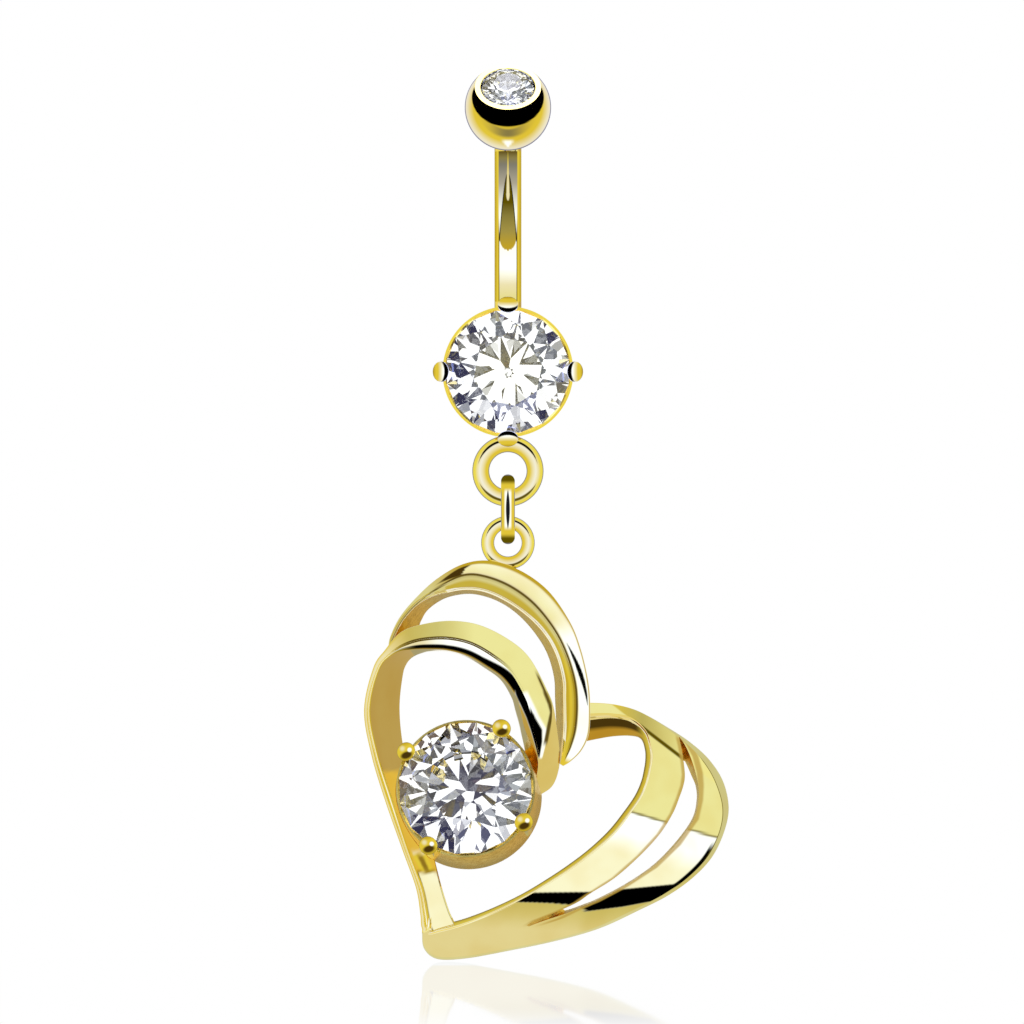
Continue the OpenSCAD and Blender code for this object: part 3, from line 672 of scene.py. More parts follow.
def build_link(places, materials):
    """The jump ring between the hanger ring and the heart's bail."""
    at = Matrix.Translation((0, places["hang_y"], places["link_z"]))
    link = torus("link", LINK_OD, LINK_WIRE, at @ Matrix.Rotation(math.pi / 2, 4, "Y"))
    return finish_piece(link, "jump_link", materials)


class Nodes:
    """A short way to add nodes to a tree and link them."""

    def __init__(self, tree):
        self.tree = tree
        tree.nodes.clear()

    def add(self, kind, inputs=None, **settings):
        node = self.tree.nodes.new(kind)
        for name, value in settings.items():
            setattr(node, name, value)
        for name, value in (inputs or {}).items():
            if isinstance(value, bpy.types.NodeSocket):
                self.tree.links.new(value, node.inputs[name])
            else:
                node.inputs[name].default_value = value
        return node

    def place(self):
        """The object's own coordinates."""
        return self.add("ShaderNodeTexCoord").outputs["Object"]

    def noise(self, place, scale, detail, **more):
        inputs = {"Vector": place, "Scale": scale, "Detail": detail, **more}
        return self.add("ShaderNodeTexNoise", inputs).outputs["Fac"]

    def bump(self, height, strength, distance, **more):
        inputs = {"Height": height, "Strength": strength, "Distance": distance, **more}
        return self.add("ShaderNodeBump", inputs).outputs[0]

    def surface(self, shader):
        self.add("ShaderNodeOutputMaterial", {"Surface": shader.outputs[0]})

    def blend(self, share, first, second):
        return self.add("ShaderNodeMixShader", {0: share, 1: first.outputs[0], 2: second.outputs[0]})

    def metal(self, colour, gloss, normal):
        self.surface(self.add("ShaderNodeBsdfPrincipled", {"Base Color": colour, "Metallic": 1.0,
                                                           "Roughness": gloss, "Normal": normal}))

    def math(self, operation, *values):
        return self.add("ShaderNodeMath", dict(enumerate(values)), operation=operation).outputs[0]

    def ramp(self, value, low, high, start=0.0, end=1.0):
        """A smooth step from start to end as value runs from low to high."""
        node = self.add("ShaderNodeMapRange", {"Value": value, "From Min": low, "From Max": high,
                                               "To Min": start, "To Max": end},
                        interpolation_type="SMOOTHSTEP")
        return node.outputs["Result"]

    def mix(self, share, first, second):
        node = self.add("ShaderNodeMix", data_type="RGBA")
        for socket, value in ((node.inputs[0], share), (node.inputs[6], first), (node.inputs[7], second)):
            if isinstance(value, bpy.types.NodeSocket):
                self.tree.links.new(value, socket)
            elif socket.type == "RGBA":
                socket.default_value = (*value, 1)
            else:
                socket.default_value = value
        return node.outputs[2]


def new_material(name):
    material = bpy.data.materials.new(name)
    material.use_nodes = True
    return material, Nodes(material.node_tree)


def gold_material(name, colour, roughness, spread, ripple, ripple_scale, scratch):
    """Metal with an uneven polish: a slow ripple in its surface, fine scratches, changing gloss."""
    material, nodes = new_material(name)
    place = nodes.place()
    cloud = nodes.noise(place, 900.0, 4.0)
    slow = nodes.noise(place, ripple_scale, 2.0)
    stretch = nodes.add("ShaderNodeMapping", {"Vector": place, "Scale": (1.0, 1.0, 12.0),
                                              "Rotation": (0.4, 0.9, 0.2)}).outputs[0]
    lines = nodes.noise(stretch, 5200.0, 3.0)
    gloss = nodes.ramp(cloud, 0.3, 0.75, roughness, roughness + spread)
    deeper = tuple(c * f for c, f in zip(colour, (0.97, 0.93, 0.84)))
    tint = nodes.mix(nodes.ramp(slow, 0.35, 0.7), colour, deeper)
    wave = nodes.bump(slow, ripple, 0.05 * MM)
    nodes.metal(tint, gloss, nodes.bump(lines, scratch, 0.002 * MM, Normal=wave))
    return material


def cast_material(name, colour):
    """The walls that the polishing wheel didn't reach: pitted and dull, and more orange as painted shade of
    these recesses.
    """
    material, nodes = new_material(name)
    place = nodes.place()
    grain = nodes.noise(place, 3200.0, 5.0, Roughness=0.6)
    pits = nodes.add("ShaderNodeTexVoronoi", {"Vector": place, "Scale": 2600.0}).outputs["Distance"]
    height = nodes.math("ADD", grain, nodes.math("MULTIPLY", pits, 0.5))
    dark = tuple(0.80 * c for c in colour)
    tint = nodes.mix(nodes.ramp(grain, 0.35, 0.62), dark, colour)
    gloss = nodes.ramp(grain, 0.3, 0.7, 0.34, 0.18)
    nodes.metal(tint, gloss, nodes.bump(height, 0.12, 0.04 * MM))
    return material


def foil_material(name):
    """The bright foil behind the ball's stone."""
    material, nodes = new_material(name)
    crease = nodes.noise(nodes.place(), 900.0, 1.0)
    nodes.metal((0.93, 0.93, 0.94, 1), 0.08, nodes.bump(crease, 0.1, 0.02 * MM))
    return material


def stone_material(name):
    """Cut cubic zirconia: clear, very bright, with a faint cool tint and polished facets."""
    material, nodes = new_material(name)
    haze = nodes.noise(nodes.place(), 700.0, 2.0)
    gloss = nodes.ramp(haze, 0.55, 0.9, 0.0, 0.015)
    tint = nodes.mix(nodes.ramp(haze, 0.3, 0.7), (0.985, 0.99, 1.0), (1.0, 1.0, 1.0))
    nodes.surface(nodes.add("ShaderNodeBsdfPrincipled", {"Base Color": tint, "Roughness": gloss, "IOR": 2.16,
                                                         "Transmission Weight": 1.0}))
    return material


# The colours of the light that the metal mirrors: the studio's panels, and the painted reflections,
# highlights and shade on the cards
WHITE = (3.0, 3.0, 3.1)
CREAM = (1.25, 1.35, 1.9)
PALE = (0.95, 1.02, 0.86)
TAN = (0.64, 0.62, 0.36)
SAND = (0.80, 0.84, 0.78)
AMBER = (0.55, 0.42, 0.18)
MIST = (0.72, 0.86, 0.95)
BROWN = (0.07, 0.045, 0.012)
BLACK = (0.010, 0.008, 0.004)
HONEY = (0.82, 0.72, 0.13)
BUTTER = (0.92, 0.96, 1.30)
MILK = (1.2, 1.45, 3.2)
ASH = (0.45, 0.48, 0.86)
SLATE = (0.23, 0.25, 0.45)
MOSS = (0.27, 0.26, 0.20)
OLIVE = (0.12, 0.10, 0.0)
BRASS = (0.58, 0.47, 0.07)
UMBER = (0.13, 0.10, 0.03)
INK = (0.0, 0.0, 0.0)
NAVY = (0.010, 0.013, 0.045)
STRAW = (0.91, 1.00, 0.95)
IVORY = (1.05, 1.18, 1.80)
DUNE = (0.74, 0.78, 0.74)
FAWN = (0.75, 0.68, 0.46)
OCHRE = (0.62, 0.56, 0.16)
RUST = (0.52, 0.33, 0.06)
SUN = (0.82, 0.60, 0.14)
BRONZE = (0.30, 0.21, 0.04)
RIME = (0.66, 0.70, 0.66)
LEMON = (0.90, 0.87, 0.24)
PEARL = (0.98, 1.09, 2.03)

# What the studio shows by direction, each panel over the ones before it: its colour, and its limits
# as from, to and softness. The measures are off: degrees from the camera's axis, turn: degrees round
# that axis, 0 right and 90 up, and side and height: the direction's own X and Z.
PANELS = [
    (CREAM, {"off": (-5, 38, 4), "turn": (-30, 104, 3)}),
    (PALE, {"off": (40, 70, 3), "turn": (-24, 112, 2)}),
    (TAN, {"off": (35, 49, 1.5), "turn": (56, 112, 2)}),
    (BLACK, {"off": (40, 52, 1.5), "turn": (51.5, 56, 0.8)}),
    (BLACK, {"off": (18, 34, 2), "turn": (8, 19, 2)}),
    (BROWN, {"off": (22, 42, 3), "turn": (101, 111, 2)}),
    (TAN, {"off": (18, 110, 4), "turn": (112, 152, 4)}),
    (WHITE, {"off": (30, 66, 4), "turn": (-44, -34, 3)}),
    (MOSS, {"off": (34, 52, 2), "turn": (-34.5, -33, 0.6)}),
    (CREAM, {"off": (30, 66, 4), "turn": (-112, -44, 3)}),
    (WHITE, {"off": (10, 36, 4), "turn": (-181, -108, 4)}),
    (CREAM, {"off": (10, 34, 4), "turn": (-108, -62, 4)}),
    (BLACK, {"off": (64, 95, 3), "turn": (-181, -150, 3)}),
    (BLACK, {"off": (46, 88, 3), "turn": (-150, -70, 3)}),
    (SAND, {"off": (34, 150, 4), "turn": (-112, -40, 3), "height": (-1.1, -0.73, 0.01)}),
    (BLACK, {"off": (54, 88, 3), "turn": (-112, -72, 2)}),
    (BROWN, {"off": (100, 113, 2), "turn": (-120, -60, 6)}),
    (AMBER, {"off": (113, 150, 2), "turn": (-120, -60, 6)}),
    (MIST, {"off": (88, 112, 4), "turn": (-40, 70, 5)}),
    (BLACK, {"off": (37, 132, 3), "height": (-0.735, -0.65, 0.008), "side": (0.12, 1.1, 0.02)}),
    (BROWN, {"off": (86, 91, 1), "turn": (-26, 26, 3)}),
    (BROWN, {"off": (88, 93, 1), "turn": (164, 181, 3)}),
    (BROWN, {"off": (88, 93, 1), "turn": (-181, -164, 3)}),
    (BLACK, {"off": (76, 83, 1.5), "turn": (26, 160, 4)}),
    (WHITE, {"off": (84, 96, 4), "turn": (66, 114, 8)}),
    (AMBER, {"off": (122, 168, 4), "turn": (-60, 45, 10)}),
    ((0.92, 0.86, 0.24), {"off": (-5, 6, 2)}),
    ((1.0, 1.0, 1.0), {"off": (173, 181, 1)}),
]

# What the stones refract: bright cells by direction, some of them grey, black, blue or red. Each
# row is the cell's random number, where the tone starts, where it is full, and the tone.
SPARKLES = [
    (0, 0.70, 0.71, (0.42, 0.44, 0.50)),
    (0, 0.80, 0.81, (0.045, 0.045, 0.10)),
    (1, 0.990, 0.992, (0.30, 0.72, 0.95)),
    (2, 0.985, 0.99, (0.60, 0.22, 0.20)),
]


def build_world():
    """A white studio for the camera. Mirrors see PANELS by direction, and the stones SPARKLES."""
    scene = bpy.context.scene
    world = bpy.data.worlds.new("studio")
    scene.world = world
    world.use_nodes = True
    nodes = Nodes(world.node_tree)
    direction = nodes.add("ShaderNodeTexCoord").outputs["Generated"]
    parts = nodes.add("ShaderNodeSeparateXYZ", {"Vector": direction}).outputs
    off = nodes.math("ARCCOSINE", nodes.math("MULTIPLY", parts[1], -1.0))
    off = nodes.math("MULTIPLY", off, math.degrees(1))
    turn = nodes.math("MULTIPLY", nodes.math("ARCTAN2", parts[2], parts[0]), math.degrees(1))
    measures = {"off": off, "turn": turn, "side": parts[0], "height": parts[2]}

    colour = nodes.mix(nodes.ramp(off, 44, 80), (0.95, 1.0, 0.95), (0.92, 0.82, 0.28))
    colour = nodes.mix(nodes.ramp(off, 135, 165), colour, (0.40, 0.37, 0.24))
    for tone, limits in PANELS:
        share = None
        for name, (low, high, edge) in limits.items():
            rise = nodes.ramp(measures[name], low - edge, low + edge)
            fall = nodes.ramp(measures[name], high - edge, high + edge, 1.0, 0.0)
            for part in (rise, fall):
                share = nodes.math("MULTIPLY", share, part) if share else part
        colour = nodes.mix(share, colour, tone)

    cells = nodes.add("ShaderNodeTexVoronoi", {"Vector": direction, "Scale": 3.2}).outputs["Color"]
    picked = nodes.add("ShaderNodeSeparateXYZ", {"Vector": cells}).outputs
    sparkle = (1.4, 1.42, 1.46)
    for number, low, high, tone in SPARKLES:
        sparkle = nodes.mix(nodes.ramp(picked[number], low, high), sparkle, tone)
    sparkle = nodes.mix(nodes.ramp(off, 7, 9), (0.04, 0.04, 0.06), sparkle)

    rays = nodes.add("ShaderNodeLightPath").outputs
    colour = nodes.mix(rays["Is Transmission Ray"], colour, sparkle)
    shown = nodes.mix(rays["Is Camera Ray"], colour, (1.0, 1.0, 1.0))
    light = nodes.add("ShaderNodeBackground", {"Color": shown, "Strength": 1.0})
    nodes.add("ShaderNodeOutputWorld", {"Surface": light.outputs[0]})


# Steps of a section's outline: where its bevel, outer face, ridge, inner side and inner wall start
BEVEL_STEP, FACE_STEP, RIDGE_STEP, ROLL_STEP, WALL_STEP = 9, 15, 24, 29, 45

# The painted-reflection cards: sections between two rows of a table, the widest cell, how far round
# a wire they show, how far their light reaches, the beads' size to them, and how far off the metal they
# stand
CARD_STEPS = 14
CARD_GRAIN = 0.08 * MM
WIRE_SWEEP = math.radians(84)
GLOW_NEAR, GLOW_FAR = 4 * MM, 6 * MM
CLAW_DOME_R = 0.5 * MM
HEART_DOME_R = 0.55 * MM
RIBBON_REACH, WALL_REACH, BALL_REACH, WIRE_REACH, LINK_REACH, BEAD_REACH = (
    reach * MM for reach in (0.12, 0.05, 0.3, 0.25, 0.3, 0.2))


def fade(value, low, high):
    """A smooth step from 0 at low to 1 at high. Low may be the larger one."""
    t = min(max((value - low) / (high - low), 0.0), 1.0)
    return t * t * (3 - 2 * t)


def over(tone, *layers):
    """A tone with others laid over it, each as (tone, share)."""
    for upper, share in layers:
        tone = tuple(a + (b - a) * share for a, b in zip(tone, upper))
    return tone


def ladder(value, *stops):
    """The tone at a value between stops, each as (value, tone)."""
    tone = stops[0][1]
    for (low, _), (high, upper) in zip(stops, stops[1:]):
        tone = over(tone, (upper, min(max((value - low) / (high - low), 0.0), 1.0)))
    return tone


def curve(value, *stops):
    """The number at a value between stops, each as (value, number)."""
    return ladder(value, *((at, (number,)) for at, number in stops))[0]


def grid(rows, columns, spot):
    """Rows of spots. The function gets the row's number and the place across, from -1 to 1."""
    return [[spot(row, 2 * k / (columns - 1) - 1) for k in range(columns)] for row in range(rows)]


def build_card(name, body, spots, reach):
    """A small glowing card that only mirrors see, close to a body's metal, which paints reflections,
    highlights and shade on it. The front view shows it at the spots: rows of points, each with its
    outward direction and the painted light there."""
    toward = Vector((0, -1, 0))
    columns, flat = len(spots[0]), [spot for row in spots for spot in row]
    points = [point + reach * (2 * normal.dot(toward) * normal - toward) for point, normal, _ in flat]
    faces = [(i, i + 1, i + columns + 1, i + columns)
             for row in range(len(spots) - 1) for i in range(row * columns, (row + 1) * columns - 1)]
    mesh = bpy.data.meshes.new(name)
    mesh.from_pydata(points, [], faces)
    painted_light = mesh.attributes.new("painted_light", "FLOAT_COLOR", "POINT")
    painted_light.data.foreach_set("color", [v for _, _, tone in flat for v in (*tone, 1.0)])
    card = new_object(name, mesh)
    material, nodes = new_material(name)
    light = nodes.add("ShaderNodeAttribute", attribute_name="painted_light").outputs["Color"]
    paint = nodes.add("ShaderNodeEmission", {"Color": light, "Strength": 1.0})
    away = nodes.ramp(nodes.add("ShaderNodeLightPath").outputs["Ray Length"], GLOW_NEAR, GLOW_FAR)
    nodes.surface(nodes.blend(away, paint, nodes.add("ShaderNodeBsdfTransparent")))
    mesh.materials.append(material)
    card.visible_camera = card.visible_diffuse = card.visible_transmission = card.visible_shadow = False
    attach(card, body)


def ball_spots():
    """The painted reflections on the ball outside its seat: a black crescent of painted shade, a painted
    shadow under it, yellow, a painted highlight and a pale outline.
    """
    low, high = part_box("top_ball")
    middle, radius = (low + high) / 2, BALL_D / 2
    turn = Matrix.Rotation(BAR_TOP_TURN, 3, "X")
    start = math.asin(BALL_FLAT_D / BALL_D)

    def spot(row, share):
        around = math.radians(146 * share)
        outline = math.atan2(1, -math.cos(around) / math.tan(BAR_TOP_TURN))
        dip = start + (0.995 * outline - start) * row / 60
        normal = turn @ Vector((math.sin(dip) * math.sin(around), -math.sin(dip) * math.cos(around),
                                math.cos(dip)))
        rim = 1 - math.hypot(normal.x, normal.z)
        # The black crescent is painted shade under the stone's seat, and the shadow below it is painted too.
        crescent = dip - start - math.radians(23.2) * max(0.0, math.cos(around)) ** 0.7
        shadow = fade(rim, 0.50, 0.44) * fade(rim, 0.25, 0.33) * math.exp(-(normal.x / 0.40) ** 2)
        half = 0.03 + 0.15 * fade(rim, 0.06, 0.20)
        gleam = fade(abs(normal.x), half, 0.2 * half) * fade(rim, 0.05, 0.10) * fade(rim, 0.26, 0.17)
        tone = over(ladder(rim, (0.02, BUTTER), (0.07, BUTTER), (0.20, HONEY)),
                    (MOSS, shadow * fade(normal.z, 0.1, -0.2)), (MILK, gleam * fade(normal.z, 0, -0.1)),
                    (SLATE, fade(rim, 0.03, 0.01)), (INK, fade(crescent, 0.02, 0.0)))
        return middle + radius * normal, normal, tone

    return grid(61, 97, spot)


def round_end(share):
    """How a leaf's width goes down over the last 0.15 of its length."""
    return math.sqrt(1 - ((share - 0.85) / 0.15) ** 2)


def shaft_tone(x, z):
    """The light on the shaft: a grey top, a dark leaf with a pale sliver, white, and yellow edges."""
    tone = ladder(-z, (-4.65, UMBER), (-4.3, MOSS), (-3.9, SLATE), (-2.8, ASH), (-0.8, MILK),
                  (2.2, MILK), (3.2, BUTTER), (4.0, (0.86, 0.90, 0.80)))
    tone = over(tone, (UMBER, fade(x, 0.50, 0.52) * fade(z, 1.5, -0.5)), (HONEY, fade(x, 0.54, 0.57)),
                (BRASS, fade(x, 0.64, 0.72)))
    share = (3.35 - z) / 4.5
    if 0 < share < 1:
        half = 0.48 * (share / 0.85) ** 0.6 if share < 0.85 else 0.48 * round_end(share)
        leaf = ladder(-z, (-1.7, OLIVE), (-0.9, (0.27, 0.26, 0.13)), (0.0, (0.40, 0.38, 0.20)), (0.9, BRASS))
        tone = over(tone, (INK, fade(x, half + 0.06, half + 0.04) * fade(z, -0.65, -0.55)),
                    (leaf, fade(x, half + 0.01, half - 0.01)))
    share = (4.60 - z) / 2.80
    if 0 < share < 1:
        half = 0.10 * share ** 0.7 if share < 0.85 else 0.10 * round_end(share)
        tone = over(tone, (ladder(share, (0.1, HONEY), (0.7, BUTTER)), fade(x, half + 0.015, half - 0.015)))
    return tone


def shaft_spots():
    """The shaft's front, from under the ball down to the basket."""
    def spot(row, share):
        z, across = (4.68 - 8.9 * row / 110) * MM, WIRE_SWEEP * share
        bend = math.asin(z / (BAR_BEND_R - BAR_D / 2 * math.cos(across)))
        normal = Vector((math.sin(across), -math.cos(across) * math.cos(bend),
                         -math.cos(across) * math.sin(bend)))
        centre, _ = bar_point(bend)
        tone = shaft_tone(abs(math.sin(across)) * BAR_D / 2 / MM, z / MM)
        return centre + BAR_D / 2 * normal, normal, tone

    return grid(111, 97, spot)


def ring_spots(middle, od, wire):
    """The painted reflections on a ring that faces the viewer: pale along its middle, yellow at both sides,
    with dark arcs of painted shade.
    """
    def spot(row, share):
        turn, across = math.radians(3 * row), WIRE_SWEEP * share
        outward = Vector((math.cos(turn), 0, math.sin(turn)))
        normal = math.sin(across) * outward + math.cos(across) * Vector((0, -1, 0))
        side, rise = normal.dot(outward), outward.z
        high, low = fade(rise, 0.15, 0.8), fade(rise, -0.25, -0.9)
        black = fade(abs(side - 0.38), 0.16 * high, 0.13 * high - 0.02)
        olive = fade(abs(side - 0.52 - 0.2 * rise), 0.24 * low, 0.10 * low - 0.02)
        tone = over(ladder(side, (-0.95, SLATE), (-0.86, HONEY), (-0.6, HONEY), (-0.2, BUTTER), (0.1, PEARL),
                           (0.35, BUTTER), (0.66, LEMON), (0.86, LEMON), (0.95, SLATE)),
                    (OLIVE, olive * fade(rise, -0.2, -0.5)), (INK, black * fade(rise, 0.1, 0.3)))
        return middle + (od - wire) / 2 * outward + wire / 2 * normal, normal, tone

    return grid(121, 61, spot)


def link_spots(middle):
    """The painted reflections on the front of the jump ring: a dark sliver between white bands, yellow sides
    and olive ends.
    """
    def spot(row, share):
        turn, across = math.radians(86) * (row / 40 - 1), WIRE_SWEEP * share
        outward = Vector((0, -math.cos(turn), math.sin(turn)))
        normal = math.cos(across) * outward + math.sin(across) * Vector((1, 0, 0))
        point = middle + (LINK_OD - LINK_WIRE) / 2 * outward + LINK_WIRE / 2 * normal
        side, rise = abs(math.sin(across)), abs(point.z - middle.z) / (LINK_OD / 2)
        half = 0.30 * max(0.0, 1 - (rise / 0.60) ** 2)
        tone = over(ladder(side, (0.35, MILK), (0.60, HONEY), (0.86, HONEY), (0.95, SLATE)),
                    (HONEY, fade(rise, 0.45, 0.62)), (OLIVE, fade(rise, 0.68, 0.84)),
                    (SLATE, fade(rise, 0.95, 0.99)),
                    (NAVY, fade(side, half + 0.03, half - 0.06) * fade(rise, 0.60, 0.5)))
        return point, normal, tone

    return grid(81, 61, spot)


def claw_tone(inward, side, rim):
    """The painted reflections on a bead of the basket: a yellow dome, a white band of painted highlight, and
    a black crescent of painted shade toward the stone.
    """
    crescent = fade(math.hypot(inward + 0.9, side), 1.32, 1.36)
    return over(ladder(inward, (-0.9, BRASS), (-0.6, HONEY), (-0.3, HONEY), (0.0, BUTTER), (0.35, MILK)),
                (UMBER, fade(rim, 0.07, 0.02)), (INK, crescent), (MILK, fade(rim, 0.07, 0.04) * crescent))


def bead_tone(inward, side, rim):
    """The painted reflections on a bead of the heart's cup: yellow above with a painted pale highlight, and
    painted dark brown shade below.
    """
    # dark is the painted shade on the bead's lower side.
    dark = math.hypot((inward - 0.36) / 0.62, (side - 0.05) / 1.05)
    return over(ladder(inward, (-0.9, BRASS), (-0.5, HONEY), (0.3, HONEY), (0.85, BRASS)),
                (BUTTER, fade(math.hypot(inward + 0.45, side - 0.28), 0.42, 0.05)),
                (BROWN, fade(dark, 0.80, 0.40)),
                (MILK, fade(math.hypot(inward + 0.08, side + 0.42), 0.30, 0.14)),
                (UMBER, fade(rim, 0.06, 0.02)))


def dome_spots(middle, half, inward, paint):
    """The front of a bead. inward points, in the X-Z plane, where the bead's painted shade is."""
    across = Vector((inward.z, 0, -inward.x))

    def spot(row, share):
        lean, turn = math.radians(80 * row / 24), math.pi * (share + 1)
        u, v = math.sin(lean) * math.cos(turn), math.sin(lean) * math.sin(turn)
        normal = u * inward + v * across + Vector((0, -math.cos(lean), 0))
        return middle + half * normal, normal, paint(u, v, 1 - math.sin(lean))

    return grid(25, 49, spot)


def ribbon_spots(corner, rows, form, steps, paint):
    """The painted reflections on a ribbon's front, between two steps of its section's outline. The paint
    gets the place in the heart as shares, how far along the table, and the outline's step."""
    lines = []
    for row in smooth_rows(rows, CARD_STEPS):
        points, _ = ribbon_section(row, *form)
        lines.append([Vector(p) for p in points[steps[0]:steps[1] + 1]])
    spans = []
    for k in range(len(lines[0]) - 1):
        widest = max((line[k + 1] - line[k]).length for line in lines)
        parts = math.ceil(widest / CARD_GRAIN)
        spans += [(k, j / parts) for j in range(parts)]
    lines = [[line[k].lerp(line[k + 1], share) for k, share in spans] for line in lines]
    spots = []
    for i, line in enumerate(lines):
        before, after = lines[max(i - 1, 0)], lines[min(i + 1, len(lines) - 1)]
        spots.append([])
        for k, point in enumerate(line):
            across = line[min(k + 1, len(line) - 1)] - line[max(k - 1, 0)]
            normal = (after[k] - before[k]).cross(across).normalized()
            tone = paint(point.x / HEART_W, point.z / HEART_H, i / CARD_STEPS, sum(spans[k]) + steps[0])
            spots[-1].append((corner + point, normal if normal.y < 0 else -normal, tone))
    return spots


def right_tone(u, v, t, step):
    """The painted reflections on the right ribbon: tan and straw above, white below a thin line, a black
    band, then tan.
    """
    fold = 0.587 - 0.70 * (u - 0.748)
    line = 0.3667 - 0.286 * (u - 0.748)
    top = curve(u, (0.37, 0.1727), (0.63, 0.1727), (0.709, 0.179), (0.862, 0.191), (0.916, 0.231),
                (0.944, 0.264), (0.968, 0.304))
    low = curve(u, (0.37, 0.150), (0.508, 0.144), (0.580, 0.138), (0.607, 0.122), (0.709, 0.133),
                (0.790, 0.146), (0.862, 0.172), (0.968, 0.20))
    if step >= RIDGE_STEP:
        # The inner side: painted highlights, and painted brown and orange shade on the inner wall at the
        # stub.
        rim = ladder(step, (RIDGE_STEP, BRASS), (27, BUTTER), (33, IVORY), (36, BUTTER), (38, BROWN),
                     (40, HONEY), (43, BRASS), (44.5, UMBER))
        stub = ladder(step, (RIDGE_STEP, HONEY), (30, BUTTER), (37, HONEY), (40, BROWN), (42.4, BROWN),
                      (43.2, RUST), (45, RUST))
        return over(rim, (stub, fade(u, 0.775, 0.74) * fade(v, 0.50, 0.54)))
    if step < FACE_STEP:
        tone = ladder(v, (0.10, DUNE), (0.20, TAN), (0.28, RIME), (0.56, RIME))
        tone = over(tone, (HONEY, fade(u, 0.74, 0.70) * fade(v, 0.50, 0.54)))
        return over(tone, (OLIVE, fade(step, 13.3, 13.8) * fade(v, 0.52, 0.50) * fade(v, 0.17, 0.19)),
                    (INK, fade(step, 12, 12.5) * fade(v, 0.31, 0.26) * fade(v, 0.17, 0.19)))
    tone = over(ladder(u, (0.66, HONEY), (0.76, (0.55, 0.56, 0.36)), (0.90, PALE)),
                (STRAW, fade(v, fold + 0.006, fold)))
    # A painted dark line of shade along the crease at the fold.
    crease = fade(abs(v - fold - 0.004), 0.008, 0.003)
    tone = over(tone, (OLIVE, crease * fade(u, 0.89, 0.86) * fade(u, 0.73, 0.75)))
    below = line - v
    tone = over(tone, (over(MILK, (IVORY, fade(below, 0.05, 0.12))), fade(below, 0.0, 0.004)),
                (MOSS, fade(abs(below), 0.005, 0.001)))
    sand = ladder(low - v, (0.0, TAN), (0.03, (0.72, 0.70, 0.52)), (0.07, (0.82, 0.81, 0.80)))
    tone = over(tone, (sand, fade(v, low, low - 0.003)))
    tone = over(tone, (INK, fade(v, top, top - 0.004) * fade(v, low - 0.003, low) * fade(u, 0.365, 0.40)),
                (INK, fade(step, 16.25, 16.15) * fade(v, 0.30, 0.27) * fade(v, 0.17, 0.19)),
                ((0.26, 0.23, 0.04), fade(step, 15.5, 15.3) * fade(v, 0.51, 0.495) * fade(v, 0.24, 0.28)))
    # Painted orange reflection along both edges of the slot.
    slot = list(zip(*SLOT_CUT[::-1]))
    for column in (0, 4):
        edge = fade(abs(u - np.interp(v, slot[column + 1], slot[column])), 0.012, 0.005)
        tone = over(tone, (AMBER, 0.8 * edge * fade(v, 0.08, 0.10) * fade(v, 0.57, 0.55)))
    return tone


def left_end(u, v):
    """The painted reflections where the left ribbon comes down beside the stone: a black wedge in straw,
    then a plain tongue.
    """
    left = curve(v, (0.502, 0.480), (0.547, 0.4654), (0.577, 0.4555), (0.607, 0.444), (0.667, 0.4145))
    right = curve(v, (0.502, 0.480), (0.547, 0.488), (0.577, 0.488), (0.607, 0.4687), (0.667, 0.4375))
    line = curve(v, (0.502, 0.484), (0.547, 0.497), (0.585, 0.505), (0.62, 0.5135), (0.64, 0.5075),
                 (0.677, 0.491), (0.722, 0.470))
    tone = over(STRAW, (MILK, fade(u, right + 0.016, right + 0.006)), (TAN, fade(u, line, line + 0.006)))
    tone = over(tone, (AMBER, fade(u, left, left - 0.003)),
                (FAWN, fade(u, line, line + 0.004) * fade(v, 0.60, 0.59)), (FAWN, fade(v, 0.51, 0.50)))
    wedge = fade(u, left - 0.003, left + 0.001) * fade(u, right + 0.001, right - 0.003)
    return over(tone, (UMBER, fade(abs(u - line), 0.008, 0.003) * fade(v, 0.53, 0.55)),
                (INK, wedge * fade(v, 0.50, 0.51)))


def left_tone(u, v, t, step):
    """The painted reflections on the left ribbon: straw outside, then a line, white, black and an orange
    rim.
    """
    upper, end = fade(t, 8.5, 10.5), fade(t, 16.2, 17.4)
    down = fade(v, 0.678, 0.664) * fade(t, 14.0, 14.5)
    if step < FACE_STEP:
        return over(over(HONEY, (DUNE, upper)), (FAWN, end))
    if step < ROLL_STEP - 2:
        tone = ladder(step, (FACE_STEP, HONEY), (18, BUTTER), (22, BUTTER), (24, HONEY))
        rise = ladder(u, (0.05, HONEY), (0.12, TAN), (0.20, (0.66, 0.68, 0.50)), (0.30, STRAW))
        line = curve(v, (0.66, 0.500), (0.722, 0.470))
        rise = over(rise, (UMBER, fade(abs(u - line), 0.006, 0.002) * fade(v, 0.73, 0.70) * fade(t, 13, 14)))
        tone = over(tone, (rise, upper))
        return over(tone, (UMBER, upper * fade(step, 23, 24) * fade(u, 0.42, 0.34)), (left_end(u, v), down))
    share = (step - ROLL_STEP + 2) / 16
    low = ladder(share, (0.0, BRASS), (0.15, BUTTER), (0.45, MILK), (0.7, HONEY), (0.9, BRASS))
    # A painted brown line of shade low on the inner roll.
    low = over(low, (BROWN, fade(share, 0.78, 0.84) * fade(v, 0.44, 0.48)))
    bright = over(MILK, (BUTTER, fade(u, 0.24, 0.14)), (STRAW, fade(u, 0.38, 0.43)))
    line = curve(t, (9.0, 0.50), (12.0, 0.60), (13.6, 0.56), (15.2, 0.32))
    arch = ladder(share, (0.03, over(UMBER, (STRAW, fade(u, 0.34, 0.42)))), (0.12, bright),
                  (line - 0.07, bright), (line, INK), (0.80, INK), (0.86, AMBER), (0.92, BRASS))
    return over(low, (arch, upper), (left_end(u, v), down))


